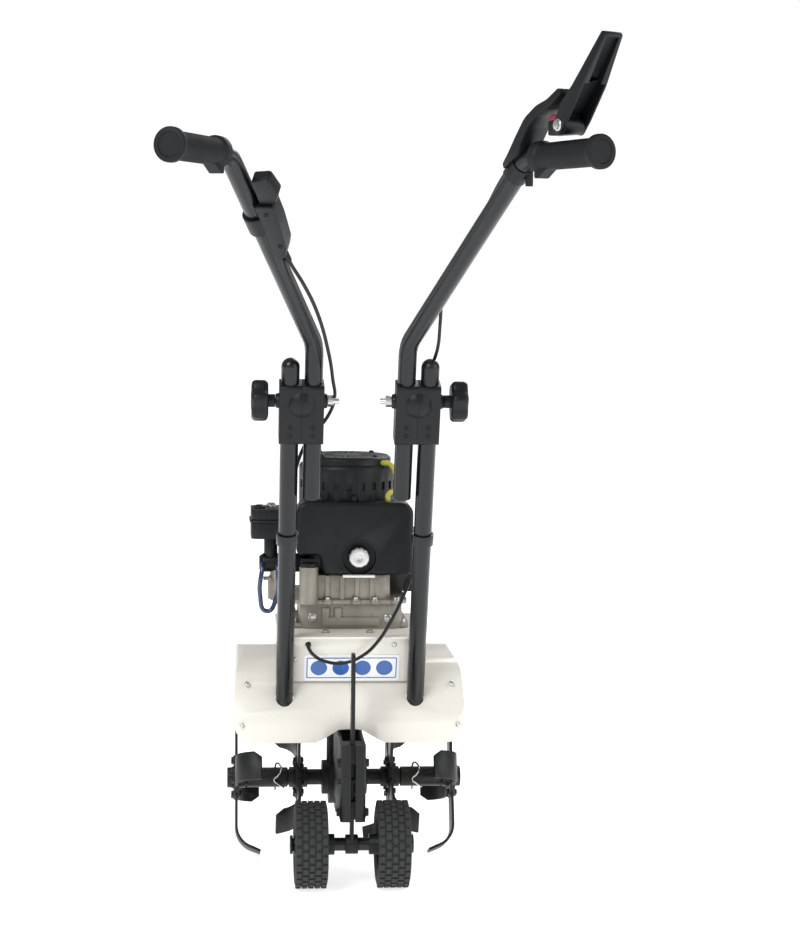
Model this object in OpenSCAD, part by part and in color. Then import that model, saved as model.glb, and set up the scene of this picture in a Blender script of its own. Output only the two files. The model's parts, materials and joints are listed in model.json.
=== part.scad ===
// Small garden tiller on two transport wheels.
// Millimetres. +X is the operator's right, +Y is forwards, +Z is up.
// The origin lies on the ground under the middle of the machine. Every module
// is drawn about the tine axle and moved there by on_chassis().

/* [Handlebar] */
// Outer diameter of all four handlebar tubes
tube_d = 25.4; // [22:0.2:30]
// Distance of each lower tube from the middle
lower_tube_x = 96; // [96:1:110]
// Distance of each upper tube from the middle, at its joint
upper_tube_x = 64; // [60:1:66]
// Height of the folding bolt above the ground
joint_z = 707; // [690:1:760]
// Distance of the folding bolt behind the tine axle
joint_back = 275; // [255:1:300]
// Lean of the tubes at the joint, from upright
tube_lean = 18.5; // [14:0.5:22]
// Length of upper tube from the bolt to its first bend
joint_to_bend = 83; // [75:1:110]
// Length of upper tube that hangs below the bolt
tail_len = 146; // [100:1:160]
// Length of lower tube above the bolt
cap_len = 50; // [44:1:70]
// Height of the lower tubes' feet
foot_z = 262; // [255:1:275]
// Distance of the upper bends from the middle
top_bend_x = 184; // [160:1:200]
// Distance of the upper bends behind the axle
top_bend_back = 580; // [520:1:620]
// Height of the upper bends
top_bend_z = 1028; // [980:1:1080]
// Inner radius of the tube bends, to the tube's middle line
bend_r = 50; // [40:1:70]
// Angle of each grip, outwards from straight back
grip_splay = 26.4; // [15:0.2:35]

/* [Grips] */
// Diameter of the grips
grip_d = 33; // [31:0.5:38]
// Length of the grips
grip_len = 130; // [110:1:150]
// Diameter of the flange on each grip's end
grip_flange_d = 45; // [40:1:50]

/* [Fender] */
// Half width of the fender
fender_half = 170; // [168:1:185]
// Thickness of the fender and platform sheet
sheet = 2.5; // [1.5:0.5:3]
// Height of the fender's lower edge at the back
fender_hem_z = 200; // [190:1:215]
// Height of the fender's bend at the back
fender_bend_z = 256; // [250:1:262]
// Height of the fender's flat top
fender_top_z = 312; // [305:1:320]
// Reach of the fender behind the axle
fender_back = 150; // [140:1:170]
// Reach of the fender in front of the axle
fender_front = 160; // [150:1:180]

/* [Tines] */
// Distance from the axle to the flat of each blade tip
tip_h = 114; // [105:1:120]
// Width of the tine blades
blade_w = 46; // [36:1:50]
// Thickness of the tine blades
blade_t = 4; // [3:0.5:6]
// Length of the bent tips along the axle
tip_len = 42; // [30:1:44]
// Distance of the outer rotors from the middle
outer_rotor_x = 164; // [160:1:166]
// Distance of the inner rotors from the middle
inner_rotor_x = 70; // [64:1:76]
// Diameter of the tine axle
axle_d = 24; // [20:1:28]

/* [Wheels] */
// Diameter over the tyres
tyre_d = 125; // [110:1:140]
// Width of the tyres
tyre_w = 48; // [40:1:56]
// Distance of each wheel from the middle
wheel_x = 59; // [54:1:64]
// Distance of the wheels behind the tine axle
wheel_back = 200; // [195:1:220]
// Diameter of the wheel axle
wheel_axle_d = 19; // [14:1:22]

/* [Depth stake] */
// Thickness of the stake bar
stake_t = 6; // [5:0.5:8]
// Width of the stake bar, front to back
stake_w = 25; // [20:1:30]
// Height of the stake's top
stake_top_z = 340; // [300:1:350]
// Half width of the bracket that guides the stake
bracket_half = 18; // [17:0.5:20]

/* [Engine] */
// Half width of the platform under the engine
platform_half = 83; // [80:1:83]
// Height of the platform's top
platform_z = 350; // [345:1:356]
// Half width of the crankcase
case_half = 76; // [70:1:80]
// Height of the crankcase above the platform
case_h = 86; // [80:1:95]
// Height of the black engine cover
cover_h = 110; // [100:1:120]

/* [Hidden] */
run_gap = 0.3;      // between faces that pass each other
fit_gap = 0.05;     // around a pin or tube in its bore
tube_r = tube_d / 2;
rotor_phase = 22.5; // outer rotors lag and inner ones lead by this
axle_z = tip_h * cos(rotor_phase) + blade_w / 2 * sin(rotor_phase);

// Middle line of the right upper tube, from its tail to the grip's end
lean_dir = [0, -sin(tube_lean), cos(tube_lean)];
joint_at = [upper_tube_x, -joint_back, joint_z];
tail_end = joint_at - tail_len * lean_dir;
first_bend = joint_at + joint_to_bend * lean_dir;
top_bend = [top_bend_x, -top_bend_back, top_bend_z];
grip_dir = [sin(grip_splay), -cos(grip_splay), 0.02];
grip_start = top_bend + 26 * grip_dir;
grip_end = grip_start + grip_len * grip_dir;

upper_path = rounded([tail_end, first_bend, top_bend, grip_end - 4 * grip_dir], bend_r);

// Middle line of the right lower tube
lower_joint = [lower_tube_x, -joint_back, joint_z];
lower_cap = lower_joint + cap_len * lean_dir;
lower_foot = lower_joint - (joint_z - foot_z) / cos(tube_lean) * lean_dir;

// The reach behind the axle is the grip flange's rim
lever_reach = 182;
lever_w = 24;
rear_reach = max(-grip_end[1] + grip_flange_d / 2 * sin(grip_splay),
    top_bend_back + lever_reach * cos(grip_splay) + lever_w / 2 * sin(grip_splay));
axle_y = (rear_reach - fender_front) / 2;

// Joint blocks and bolt, along X
bolt_r = 4;
mid_x = (lower_tube_x + upper_tube_x) / 2;
block_r = 20;
block_outer_x = lower_tube_x + tube_r + 7;
block_inner_x = upper_tube_x - tube_r - 7;
knob_x = block_outer_x + 10;
knob_w = 24;
knob_r = 31;
nut_w = 8;

// Heights of the engine's layers
case_top_z = platform_z + case_h;
flange_z = platform_z + 44;
cover_top_z = case_top_z + cover_h;
cover_back = 88;
cover_front = 70;

// Wheels and their axle
wheel_z = tyre_d / 2;
stake_y = -wheel_back;

$fn = 48;

// ---------------------------------------------------------------- helpers

function unit(v) = v / norm(v);

// Points of an arc about c
function arc(c, r, a0, a1, n) = [for (i = [0 : n]) let (a = a0 + (a1 - a0) * i / n)
    c + r * [cos(a), sin(a)]];

module on_chassis() {
    translate([0, axle_y, 0]) children();
}

// Both sides are built from the right-hand one
module side(right) {
    if (right) on_chassis() children();
    else on_chassis() mirror([1, 0, 0]) children();
}

// Turns +Z to run along v
module along(v) {
    u = unit(v);
    rotate([0, acos(u[2]), atan2(u[1], u[0])]) children();
}

module rod(a, b, r) {
    translate(a) along(b - a) cylinder(r = r, h = norm(b - a));
}

// A disc or pin that lies along X, from x0 to x1
module x_rod(x0, x1, r, fn = 48) {
    translate([x0, 0, 0]) rotate([0, 90, 0]) cylinder(r = r, h = x1 - x0, $fn = fn);
}

// Direction of a path at its point i
function heading(p, i) = unit((i < len(p) - 1 ? unit(p[i + 1] - p[i]) : [0, 0, 0])
    + (i > 0 ? unit(p[i] - p[i - 1]) : [0, 0, 0]));

// A direction square to t
function square_to(t) = unit(cross(t, abs(t[0]) < 0.9 ? [1, 0, 0] : [0, 1, 0]));

// One direction square to the path at each point, carried along without twist
function carried(p, n, i = 0) = i == len(p) ? [] :
    let (t = heading(p, i), m = unit(n - (n * t) * t)) concat([m], carried(p, m, i + 1));

// The bend at b on the way from a to c
function bend(a, b, c, radius, step) =
    let (u = unit(b - a), v = unit(c - b), turn = acos(min(1, u * v)))
    turn < 1 ? [b] :
    let (cut = radius * tan(turn / 2), centre = b + unit(v - u) * radius / cos(turn / 2),
         x = unit(b - cut * u - centre), n = ceil(turn / step))
    [for (k = [0 : n]) let (q = turn * k / n) centre + radius * (cos(q) * x + sin(q) * u)];

// A path with each inner point rounded to a radius, in steps of so many degrees
function rounded(p, radius, step = 9) = concat([p[0]],
    [for (i = [1 : len(p) - 2]) each bend(p[i - 1], p[i], p[i + 1], radius, step)],
    [p[len(p) - 1]]);

// A round bar along a path
module sweep(p, r, sides = 20) {
    n = carried(p, square_to(heading(p, 0)));
    last = len(p) - 1;
    polyhedron(
        points = [for (i = [0 : last]) let (t = heading(p, i), b = cross(t, n[i]))
            for (k = [0 : sides - 1]) p[i] + r * (cos(360 * k / sides) * n[i] + sin(360 * k / sides) * b)],
        faces = concat([[for (k = [0 : sides - 1]) k]],
            [for (i = [0 : last - 1]) for (k = [0 : sides - 1]) let (m = (k + 1) % sides)
                [i * sides + k, (i + 1) * sides + k, (i + 1) * sides + m, i * sides + m]],
            [[for (k = [sides - 1 : -1 : 0]) last * sides + k]]));
}

// Rectangle with rounded corners
module round_rect(w, d, r) {
    square([w - 2 * r, d], center = true);
    square([w, d - 2 * r], center = true);
    for (x = [-1, 1], y = [-1, 1]) translate([x * (w / 2 - r), y * (d / 2 - r)]) circle(r);
}

// ---------------------------------------------------------------- chassis

gear_half = bracket_half - 4 - run_gap;
neck_r = 27;

module gear_case() {
    color("#2a2c2d") on_chassis() difference() {
        union() {
            translate([0, 0, axle_z]) {
                rotate([22.5, 0, 0]) x_rod(-gear_half, gear_half, 54, 8);
                x_rod(-24, 24, 40);
                x_rod(-34, 34, 26);
            }
            translate([0, 0, axle_z]) cylinder(r = neck_r, h = platform_z - sheet - axle_z);
            translate([0, 0, platform_z - sheet - 10]) cylinder(r = 48, h = 10);
        }
        translate([0, 0, axle_z]) x_rod(-40, 40, axle_d / 2 + fit_gap);
    }
}

platform_back = 100;
platform_front = 70;
ear_back = 165;

// Height of the fender's outer face at a distance behind or before the axle
function fender_z(y) = y < 0
    ? fender_bend_z + (fender_top_z - fender_bend_z) * (fender_back + y) / (fender_back - 40)
    : fender_top_z;

module engine_platform() {
    color("#e2dfd6") on_chassis() difference() {
        union() {
            translate([-platform_half, -platform_back, platform_z - sheet])
                cube([2 * platform_half, platform_back + platform_front, sheet]);
            translate([-platform_half, -platform_back, fender_top_z + run_gap])
                cube([2 * platform_half, sheet, platform_z - fender_top_z - run_gap]);
            for (s = [-1, 1])
                translate([s > 0 ? platform_half - sheet : -platform_half, -ear_back, fender_top_z + run_gap])
                    cube([sheet, ear_back + platform_front, platform_z - fender_top_z - run_gap]);
            translate([-platform_half, -platform_back, fender_z(-platform_back + sheet) + run_gap])
                cube([2 * platform_half, sheet, 60]);
        }
        translate([0, 0, platform_z - 10]) cylinder(r = 20, h = 20);
        translate([cable_hole[0], -platform_back - 1, cable_hole[1] + 1]) rotate([-90, 0, 0])
            cylinder(r = 7, h = sheet + 2);
    }
}

// Section of the fender in the Y-Z plane, drawn inset by t
function fender_section(t) = [
    [-fender_back + t, fender_hem_z - (t > 0 ? 1 : 0)],
    [-fender_back + t, fender_bend_z - t * 0.2],
    [-40 + t * 0.2, fender_top_z - t],
    [40 - t * 0.2, fender_top_z - t],
    [fender_front - t, fender_bend_z - t * 0.2],
    [fender_front - t, fender_hem_z + 20 - (t > 0 ? 1 : 0)]
];

module fender_solid(t) {
    rotate([90, 0, 90]) linear_extrude(fender_half - t) polygon(fender_section(t));
}

module fender(right) {
    color("#e2dfd6") side(right) difference() {
        translate([run_gap / 2, 0, 0]) difference() {
            fender_solid(0);
            translate([-1, 0, 0]) fender_solid(sheet);
        }
        cylinder(r = neck_r + 8, h = 400);
        translate([0, -fender_back - 1, fender_hem_z - 1]) cube([37, 2 * sheet + 2, 16]);
        translate(lower_foot - 60 * lean_dir) along(lean_dir) cylinder(r = tube_r + 3, h = 120);
    }
}

module label_plate() {
    color("white") on_chassis()
        translate([-72, -platform_back - 1.2 - run_gap, 284]) cube([144, 1.2, 32]);
}

module stake_bracket() {
    plate = 4;
    back = wheel_back + stake_w / 2 + 14;
    color("#1c1f20") on_chassis() difference() {
        union() {
            for (s = [-1, 1])
                translate([s > 0 ? bracket_half - plate : -bracket_half, -back, 101])
                    cube([plate, back - 20, 111]);
            translate([-bracket_half, stake_y + stake_w / 2 + run_gap, 101]) cube([2 * bracket_half, 6, 111]);
            for (z = [101, 182]) translate([-bracket_half, -back, z]) cube([2 * bracket_half, 60, 30]);
            for (z = [112, 165, 203]) translate([0, -back + 8, z]) x_rod(-bracket_half - 4, bracket_half + 4, 4);
        }
        translate([-stake_t / 2 - run_gap, stake_y - stake_w / 2 - run_gap, 0])
            cube([stake_t + 2 * run_gap, stake_w + 2 * run_gap, 400]);
        translate([0, 0, axle_z]) x_rod(-40, 40, 40 + run_gap);
        cylinder(r = neck_r + run_gap, h = 400);
    }
}

// ---------------------------------------------------------------- engine

module crankcase() {
    color("#969187") on_chassis() {
        translate([0, -5, platform_z + run_gap]) linear_extrude(flange_z - platform_z - run_gap)
            round_rect(2 * case_half - 10, 150, 30);
        translate([-62, -103, flange_z - 20]) cylinder(r = 11, h = case_top_z - 2 - flange_z + 20);
        translate([-70, -103, flange_z - 20]) cube([16, 36, 26]);
        translate([0, -5, flange_z]) linear_extrude(6) round_rect(2 * case_half + 14, 164, 32);
        translate([0, -5, flange_z + 6]) linear_extrude(case_top_z - flange_z - 6)
            round_rect(2 * case_half - 14, 144, 30);
    }
}

module cylinder_block() {
    color("#8d8a84") on_chassis() {
        for (i = [0 : 5]) translate([0, 67 + i * 9, case_top_z + 10]) rotate([-90, 0, 0])
            linear_extrude(4) round_rect(96, 90, 12);
        translate([0, 67, case_top_z + 10]) rotate([-90, 0, 0]) cylinder(r = 34, h = 62);
        translate([0, 121, case_top_z + 10]) rotate([-90, 0, 0]) linear_extrude(26) round_rect(80, 76, 12);
    }
}

module engine_cover() {
    color("#262c2e") on_chassis() difference() {
        translate([5, 0, case_top_z + run_gap]) linear_extrude(cover_h - run_gap)
            translate([0, (cover_front - 30 - cover_back) / 2]) round_rect(166, cover_back + cover_front - 30, 18);
        translate([7, -cover_back - 1, 464]) rotate([-90, 0, 0]) cylinder(r = 24, h = 9);
    }
}

module cover_cap() {
    color("silver") on_chassis()
        translate([7, -cover_back - 6, 464]) rotate([-90, 0, 0]) cylinder(r = 15.5, h = 14 - run_gap);
}

module fan_housing() {
    color("#1c2022") on_chassis() translate([0, -10, cover_top_z + run_gap]) {
        cylinder(r = 82, h = 30);
        translate([0, 0, 30]) cylinder(r = 60, h = 18);
    }
}

module starter_grip() {
    color("black") on_chassis() translate([0, -10, cover_top_z + run_gap]) rotate([0, 0, 125])
        translate([82 + run_gap, -26, 8]) cube([13, 52, 15]);
}

module oil_filler() {
    color("black") on_chassis() translate([-62, -103, case_top_z - 2 + run_gap]) cylinder(r = 13, h = 10);
}

module air_cleaner() {
    color("#1a1e20") on_chassis() translate([-123, -40, 481]) linear_extrude(49) round_rect(54, 70, 10);
}

module carburettor() {
    color("#777777") on_chassis() {
        translate([-132, -40, 452]) rotate([0, 90, 0]) cylinder(r = 14, h = 132 - 78 - run_gap);
        translate([-123, -40, 452]) cylinder(r = 12, h = 29 - run_gap);
    }
}

module muffler() {
    color("#44423f") on_chassis() translate([106 + run_gap, 10, 440]) linear_extrude(90) round_rect(36, 90, 14);
}

module fuel_hose() {
    color("#b5b04a") on_chassis()
        sweep(rounded([[60, -80, 546.3], [60, -80, 572], [53.9, -72.9, 586]], 10, 15), 4, 10);
}

module breather_hose() {
    color("#1c2f4a") on_chassis()
        sweep(rounded([[-118, -60, 480.7], [-118, -72, 372], [-75, -30, 372]], 12, 20), 4, 10);
}

// ---------------------------------------------------------------- handlebar

module handle_lower(right) {
    color("#141a1e") side(right) difference() {
        translate(lower_foot) along(lean_dir) rotate_extrude() {
            square([tube_r, norm(lower_cap - lower_foot)]);
            translate([0, norm(lower_cap - lower_foot)]) intersection() {
                circle(tube_r);
                square(tube_r);
            }
        }
        translate([0, -joint_back, joint_z]) x_rod(lower_tube_x - 30, lower_tube_x + 30, bolt_r + fit_gap);
    }
}

// Moulded block that holds one tube, from x0 to x1
module tube_block(x0, x1, tube_x) {
    difference() {
        translate([0, -joint_back, joint_z]) rotate([tube_lean, 0, 0]) {
            translate([x0, -block_r, -30]) cube([x1 - x0, 2 * block_r, 60]);
            x_rod(x0, x1, 24);
        }
        translate([tube_x, -joint_back, joint_z]) rotate([tube_lean, 0, 0])
            cylinder(r = tube_r + fit_gap, h = 200, center = true);
        translate([0, -joint_back, joint_z]) x_rod(x0 - 1, x1 + 1, bolt_r + fit_gap);
    }
}

module joint_block(right) {
    color("#121416") side(right)
        tube_block(mid_x + run_gap / 2, block_outer_x, lower_tube_x);
}

module clamp_block(right) {
    color("#121416") side(right)
        tube_block(block_inner_x, mid_x - run_gap / 2, upper_tube_x);
}

module joint_bolt(right) {
    color("silver") side(right) translate([0, -joint_back, joint_z]) {
        x_rod(block_inner_x - nut_w - 8, knob_x + 6, bolt_r);
        x_rod(block_inner_x - run_gap - nut_w, block_inner_x - run_gap, 8, 6);
    }
}

module knob(right) {
    color("#121416") side(right) translate([0, -joint_back, joint_z]) difference() {
        union() {
            x_rod(block_outer_x + run_gap, knob_x + 1, 13);
            translate([knob_x, 0, 0]) rotate([0, 90, 0]) linear_extrude(knob_w) {
                circle(knob_r - 7);
                for (i = [0 : 5]) rotate(i * 60) translate([knob_r - 9, 0]) circle(9);
            }
        }
        x_rod(block_outer_x - 1, knob_x + 6 + run_gap, bolt_r + fit_gap);
    }
}

module cable_clip(right) {
    color("#1a1e20") side(right) translate(lower_joint - 218 * lean_dir) along(lean_dir) difference() {
        cylinder(r = tube_r + 3, h = 16);
        translate([0, 0, -1]) cylinder(r = tube_r + fit_gap, h = 18);
    }
}

module handle_upper(right) {
    color("#141a1e") side(right) difference() {
        sweep(upper_path, tube_r);
        translate([0, -joint_back, joint_z]) x_rod(upper_tube_x - 30, upper_tube_x + 30, bolt_r + fit_gap);
    }
}

module grip(right) {
    color("#141617") side(right) difference() {
        union() {
            rod(grip_start, grip_end, grip_d / 2);
            rod(grip_end - 8 * grip_dir, grip_end, grip_flange_d / 2);
            rod(grip_start, grip_start + 5 * grip_dir, grip_flange_d / 2 - 2);
        }
        rod(grip_start - grip_dir, grip_end - (4 - fit_gap) * grip_dir, tube_r + fit_gap);
    }
}

rise = unit(top_bend - first_bend);

control_at = first_bend + 0.62 * (top_bend - first_bend);

module throttle_control() {
    color("#121416") on_chassis() mirror([1, 0, 0]) difference() {
        translate(control_at) along(rise) {
            translate([0, 0, 0]) cylinder(r = tube_r + 5, h = 40);
            translate([-12, -44, -20]) cube([24, 36, 90]);
        }
        sweep(upper_path, tube_r + fit_gap);
    }
}

module throttle_lever() {
    color("#121416") on_chassis() mirror([1, 0, 0]) translate(control_at) along(rise)
        translate([0, -28, 70 + run_gap]) linear_extrude(34) round_rect(24, 30, 10);
}

// Frame of the right hand: X back along the grip, Y towards the middle, Z up
module at_hand() {
    on_chassis() translate(top_bend) rotate([0, 0, grip_splay - 90]) children();
}

module clutch_bracket() {
    color("#17191b") difference() {
        at_hand() rotate([90, 0, 0]) linear_extrude(30, center = true)
            polygon([[-70, -70], [-44, -78], [8, -24], [20, 22], [52, 24], [52, 50], [20, 62], [-14, 44], [-76, -32]]);
        on_chassis() sweep(upper_path, tube_r + fit_gap);
        on_chassis() rod(grip_start - run_gap * grip_dir, grip_end, grip_flange_d / 2);
    }
}

module clutch_lever() {
    color("#17191b") at_hand() rotate([90, 0, 0]) linear_extrude(24, center = true)
        polygon([[52 + run_gap, 28], [52 + run_gap, 48], [60, 56], [176, 168], [182, 162], [75, 42], [64, 28]]);
}

// ---------------------------------------------------------------- cables

throttle_route = [[-109, -470, 920], [-100, -456, 905], [-84, -422, 872], [-64, -378, 830], [-46, -328, 775],
    [-37, -286, 735], [-34, -258, 707], [-37, -235, 650], [-44, -205, 590], [-58, -160, 535], [-80, -115, 500],
    [-98, -80, 470], [-100, -55, 455]];
clutch_route = [[158.5, -529, 953], [147, -506, 918], [132, -470, 880], [115, -420, 838], [100, -365, 800],
    [92, -318, 782], [84, -284, 772], [80, -262, 750], [82, -246, 712], [88, -236, 660], [93, -218, 600], [95, -196, 535],
    [95, -181, 500], [90, -172, 470], [84, -164, 440], [76, -156, 406], [56, -146, 367], [26, -134, 331], [-5, -125, 313],
    [-35, -118, 316], [-57, -110, 326], [-67, -102, 338], [-67, -92, 340]];
cable_r = 2.5;
cable_hole = [-67, 338];

module throttle_cable() {
    color("black") on_chassis() sweep(throttle_route, cable_r, 8);
}

module clutch_cable() {
    color("black") on_chassis() sweep(clutch_route, cable_r, 8);
}

// ---------------------------------------------------------------- stake and wheels

module depth_stake() {
    color("#1c1f20") on_chassis() difference() {
        union() {
            translate([-stake_t / 2, stake_y - stake_w / 2, 70]) cube([stake_t, stake_w, stake_top_z - 70]);
            rotate([90, 0, 90]) translate([0, 0, -stake_t / 2]) linear_extrude(stake_t)
                polygon([[stake_y - stake_w / 2, 71], [stake_y, 46], [stake_y + stake_w / 2, 71]]);
            translate([0, stake_y, wheel_z]) x_rod(-12, 12, wheel_axle_d / 2 + 5);
        }
        translate([0, stake_y, wheel_z]) x_rod(-20, 20, wheel_axle_d / 2 + fit_gap);
    }
}

module wheel_axle() {
    end = wheel_x + tyre_w / 2 + 6;
    color("#1c1f20") on_chassis() translate([0, stake_y, wheel_z]) {
        x_rod(-end, end, wheel_axle_d / 2);
        for (s = [-1, 1]) x_rod(s > 0 ? end - 4 : -end, s > 0 ? end : -end + 4, wheel_axle_d / 2 + 4);
    }
}

module wheel(right) {
    color("#1c1e1f") side(right) translate([wheel_x, stake_y, wheel_z]) difference() {
        union() {
            x_rod(-tyre_w / 2 - 10, tyre_w / 2, 15);
            x_rod(-4, 4, 40);
            difference() {
                x_rod(-tyre_w / 2 + 6, tyre_w / 2 - 6, 42);
                x_rod(-tyre_w, tyre_w, 38);
            }
        }
        x_rod(-tyre_w, tyre_w, wheel_axle_d / 2 + fit_gap);
    }
}

module tyre(right) {
    color("#3c3e3c") side(right) translate([wheel_x, stake_y, wheel_z]) rotate([0, 90, 0])
        rotate_extrude($fn = 72) translate([(tyre_d / 2 + 42 + fit_gap) / 2, 0])
            round_rect(tyre_d / 2 - 42 - fit_gap, tyre_w, 5);
}

// ---------------------------------------------------------------- tines

axle_half = outer_rotor_x + 6;

module tine_axle() {
    color("#1c1f20") on_chassis() translate([0, 0, axle_z]) difference() {
        x_rod(-axle_half, axle_half, axle_d / 2);
        for (s = [-1, 1]) x_rod(s > 0 ? axle_half - 30 : -axle_half - 1, s > 0 ? axle_half + 1 : -axle_half + 30, 8);
    }
}

// One blade that points down, bent over by tip_len in direction s
module blade(s) {
    translate([-blade_t / 2, -blade_w / 2, -tip_h]) cube([blade_t, blade_w, tip_h - 20]);
    translate([s > 0 ? -blade_t / 2 : blade_t / 2 - tip_len, -blade_w / 2, -tip_h]) cube([tip_len, blade_w, blade_t]);
}

// Four blades on a hub sleeve; bends holds each tip's direction
module rotor(phase, bends) {
    difference() {
        union() {
            x_rod(-14, 14, axle_d / 2 + 4);
            x_rod(-blade_t / 2, blade_t / 2, 34);
            for (i = [0 : 3]) rotate([phase + 90 * i, 0, 0]) blade(bends[i]);
        }
        x_rod(-60, 60, axle_d / 2 + fit_gap);
    }
}

module tines(x, phase, bends) {
    color("#1f2324") on_chassis() translate([x, 0, axle_z]) rotor(phase, bends);
}

module axle_clips() {
    color("silver") on_chassis() for (s = [-1, 1])
        translate([s * 115, 0, axle_z + axle_d / 2 + 1.5 + run_gap]) x_rod(-14, 14, 1.5);
}

// ---------------------------------------------------------------- assembly

gear_case();
engine_platform();
fender(false);  // fender_left
fender(true);  // fender_right
label_plate();
crankcase();
cylinder_block();  // cylinder
engine_cover();
cover_cap();
fan_housing();
starter_grip();
oil_filler();
air_cleaner();
carburettor();
muffler();
fuel_hose();
breather_hose();
handle_lower(false);  // handle_lower_left
handle_lower(true);  // handle_lower_right
joint_block(false);  // joint_block_left
joint_block(true);  // joint_block_right
joint_bolt(false);  // joint_bolt_left
joint_bolt(true);  // joint_bolt_right
knob(false);  // knob_left
knob(true);  // knob_right
cable_clip(false);  // cable_clip_left
cable_clip(true);  // cable_clip_right
stake_bracket();
depth_stake();
wheel_axle();
wheel(false);  // wheel_left
wheel(true);  // wheel_right
tyre(false);  // tyre_left
tyre(true);  // tyre_right
tine_axle();
tines(-outer_rotor_x, -rotor_phase, [1, 1, 1, 1]);  // tines_left_outer
tines(-inner_rotor_x, rotor_phase, [1, -1, 1, -1]);  // tines_left_inner
tines(inner_rotor_x, rotor_phase, [-1, 1, -1, 1]);  // tines_right_inner
tines(outer_rotor_x, -rotor_phase, [-1, -1, -1, -1]);  // tines_right_outer
axle_clips();
handle_upper(false);  // handle_upper_left
handle_upper(true);  // handle_upper_right
clamp_block(false);  // clamp_block_left
clamp_block(true);  // clamp_block_right
grip(false);  // grip_left
grip(true);  // grip_right
throttle_control();
throttle_lever();
clutch_bracket();
clutch_lever();
throttle_cable();
clutch_cable();
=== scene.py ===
"""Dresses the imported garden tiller: shaped pieces, fasteners, cables, finishes and studio. Metres, Z up."""

import json
import math

import bpy
from bpy.props import FloatProperty, FloatVectorProperty, IntProperty, PointerProperty
from bpy.types import Operator, Panel, PropertyGroup
from mathutils import Matrix, Vector

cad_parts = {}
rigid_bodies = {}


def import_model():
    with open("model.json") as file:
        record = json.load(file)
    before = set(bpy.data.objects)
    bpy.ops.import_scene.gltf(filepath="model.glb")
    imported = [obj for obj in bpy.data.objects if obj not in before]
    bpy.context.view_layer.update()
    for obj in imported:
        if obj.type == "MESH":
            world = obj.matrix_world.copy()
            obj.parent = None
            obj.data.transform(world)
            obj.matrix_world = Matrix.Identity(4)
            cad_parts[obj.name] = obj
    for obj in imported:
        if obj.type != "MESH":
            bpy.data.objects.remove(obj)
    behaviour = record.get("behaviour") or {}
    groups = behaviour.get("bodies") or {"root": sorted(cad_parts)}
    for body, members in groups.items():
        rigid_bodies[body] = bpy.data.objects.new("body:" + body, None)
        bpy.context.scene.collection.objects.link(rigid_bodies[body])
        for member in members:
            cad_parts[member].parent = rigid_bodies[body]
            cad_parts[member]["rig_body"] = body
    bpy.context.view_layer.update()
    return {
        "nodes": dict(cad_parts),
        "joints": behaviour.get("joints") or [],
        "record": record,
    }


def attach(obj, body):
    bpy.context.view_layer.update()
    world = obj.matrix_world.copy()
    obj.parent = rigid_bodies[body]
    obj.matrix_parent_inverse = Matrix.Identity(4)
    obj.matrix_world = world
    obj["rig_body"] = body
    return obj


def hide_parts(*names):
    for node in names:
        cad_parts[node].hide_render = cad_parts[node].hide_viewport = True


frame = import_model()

bl_info = {
    "name": "Garden Tiller Dresser",
    "version": (1, 0, 0),
    "blender": (4, 5, 0),
    "location": "View3D > Sidebar > Tiller",
    "description": "Shaped pieces, fasteners, cables, finishes and studio for a small garden tiller",
    "category": "Object",
}

MM = 0.001


def joint_place(name):
    """Where a joint stands, in metres."""
    return next(joint["pos_m"] for joint in frame["joints"] if joint["name"] == name)


def deck_place(name):
    """Where a joint stands, in millimetres from the ground under the tine axle."""
    x, y, z = joint_place(name)
    return Vector((round(x / MM, 2), round((y - joint_place("tine_reel_spin")[1]) / MM, 2), round(z / MM, 2)))


AXLE = Vector(joint_place("tine_reel_spin"))
AXLE_Z = AXLE.z / MM
JOINT = deck_place("right_handle_fold")
WHEEL = deck_place("right_wheel_spin")

# Places are in millimetres from the ground under the tine axle: X right, Y forwards, Z up
DECK = Matrix.Translation((0, AXLE.y, 0)) @ Matrix.Scale(MM, 4)
FLIP = Matrix.Scale(-1, 4, (1, 0, 0))
SIDES = (("right", Matrix()), ("left", FLIP))
YZ = Matrix(((0, 0, 1, 0), (1, 0, 0, 0), (0, 1, 0, 0), (0, 0, 0, 1)))   # raises a Y-Z plan along X
XZ = Matrix(((1, 0, 0, 0), (0, 0, 1, 0), (0, 1, 0, 0), (0, 0, 0, 1)))   # raises an X-Z plan along Y

RUN_GAP = 0.3       # between faces that pass each other
FIT_GAP = 0.1       # between a tube and what sleeves it
ARC_STEP = 15       # degrees between the points of a rounded corner
HAIR = 0.0005       # a bevel too small to see, which only rounds how an edge shades

# Handlebar, as in the part
TUBE_R = 12.7
LOWER_X = 96        # the tubes' distances from the middle, at the joint
UPPER_X = 64
MID_X = (LOWER_X + UPPER_X) / 2
LEAN = 18.5         # degrees from upright
BEND_RISE = 83      # length of upper tube from the bolt to its first bend
TOP_BEND = Vector((184, -580, 1028))
SPLAY = 26.4        # degrees that the grips turn outwards
GRIP_START = 26     # length of upper tube from its top bend to the grip
GRIP_LEN = 130
LEAN_DIR = Vector((0, -math.sin(math.radians(LEAN)), math.cos(math.radians(LEAN))))
FIRST_BEND = Vector((UPPER_X, 0, 0)) + JOINT + BEND_RISE * LEAN_DIR
RISE = (TOP_BEND - FIRST_BEND).normalized()
GRIP_DIR = Vector((math.sin(math.radians(SPLAY)), -math.cos(math.radians(SPLAY)), 0.02)).normalized()
LEANING = DECK @ Matrix.Translation(JOINT) @ Matrix.Rotation(math.radians(LEAN), 4, "X")    # at the bolts

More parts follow.
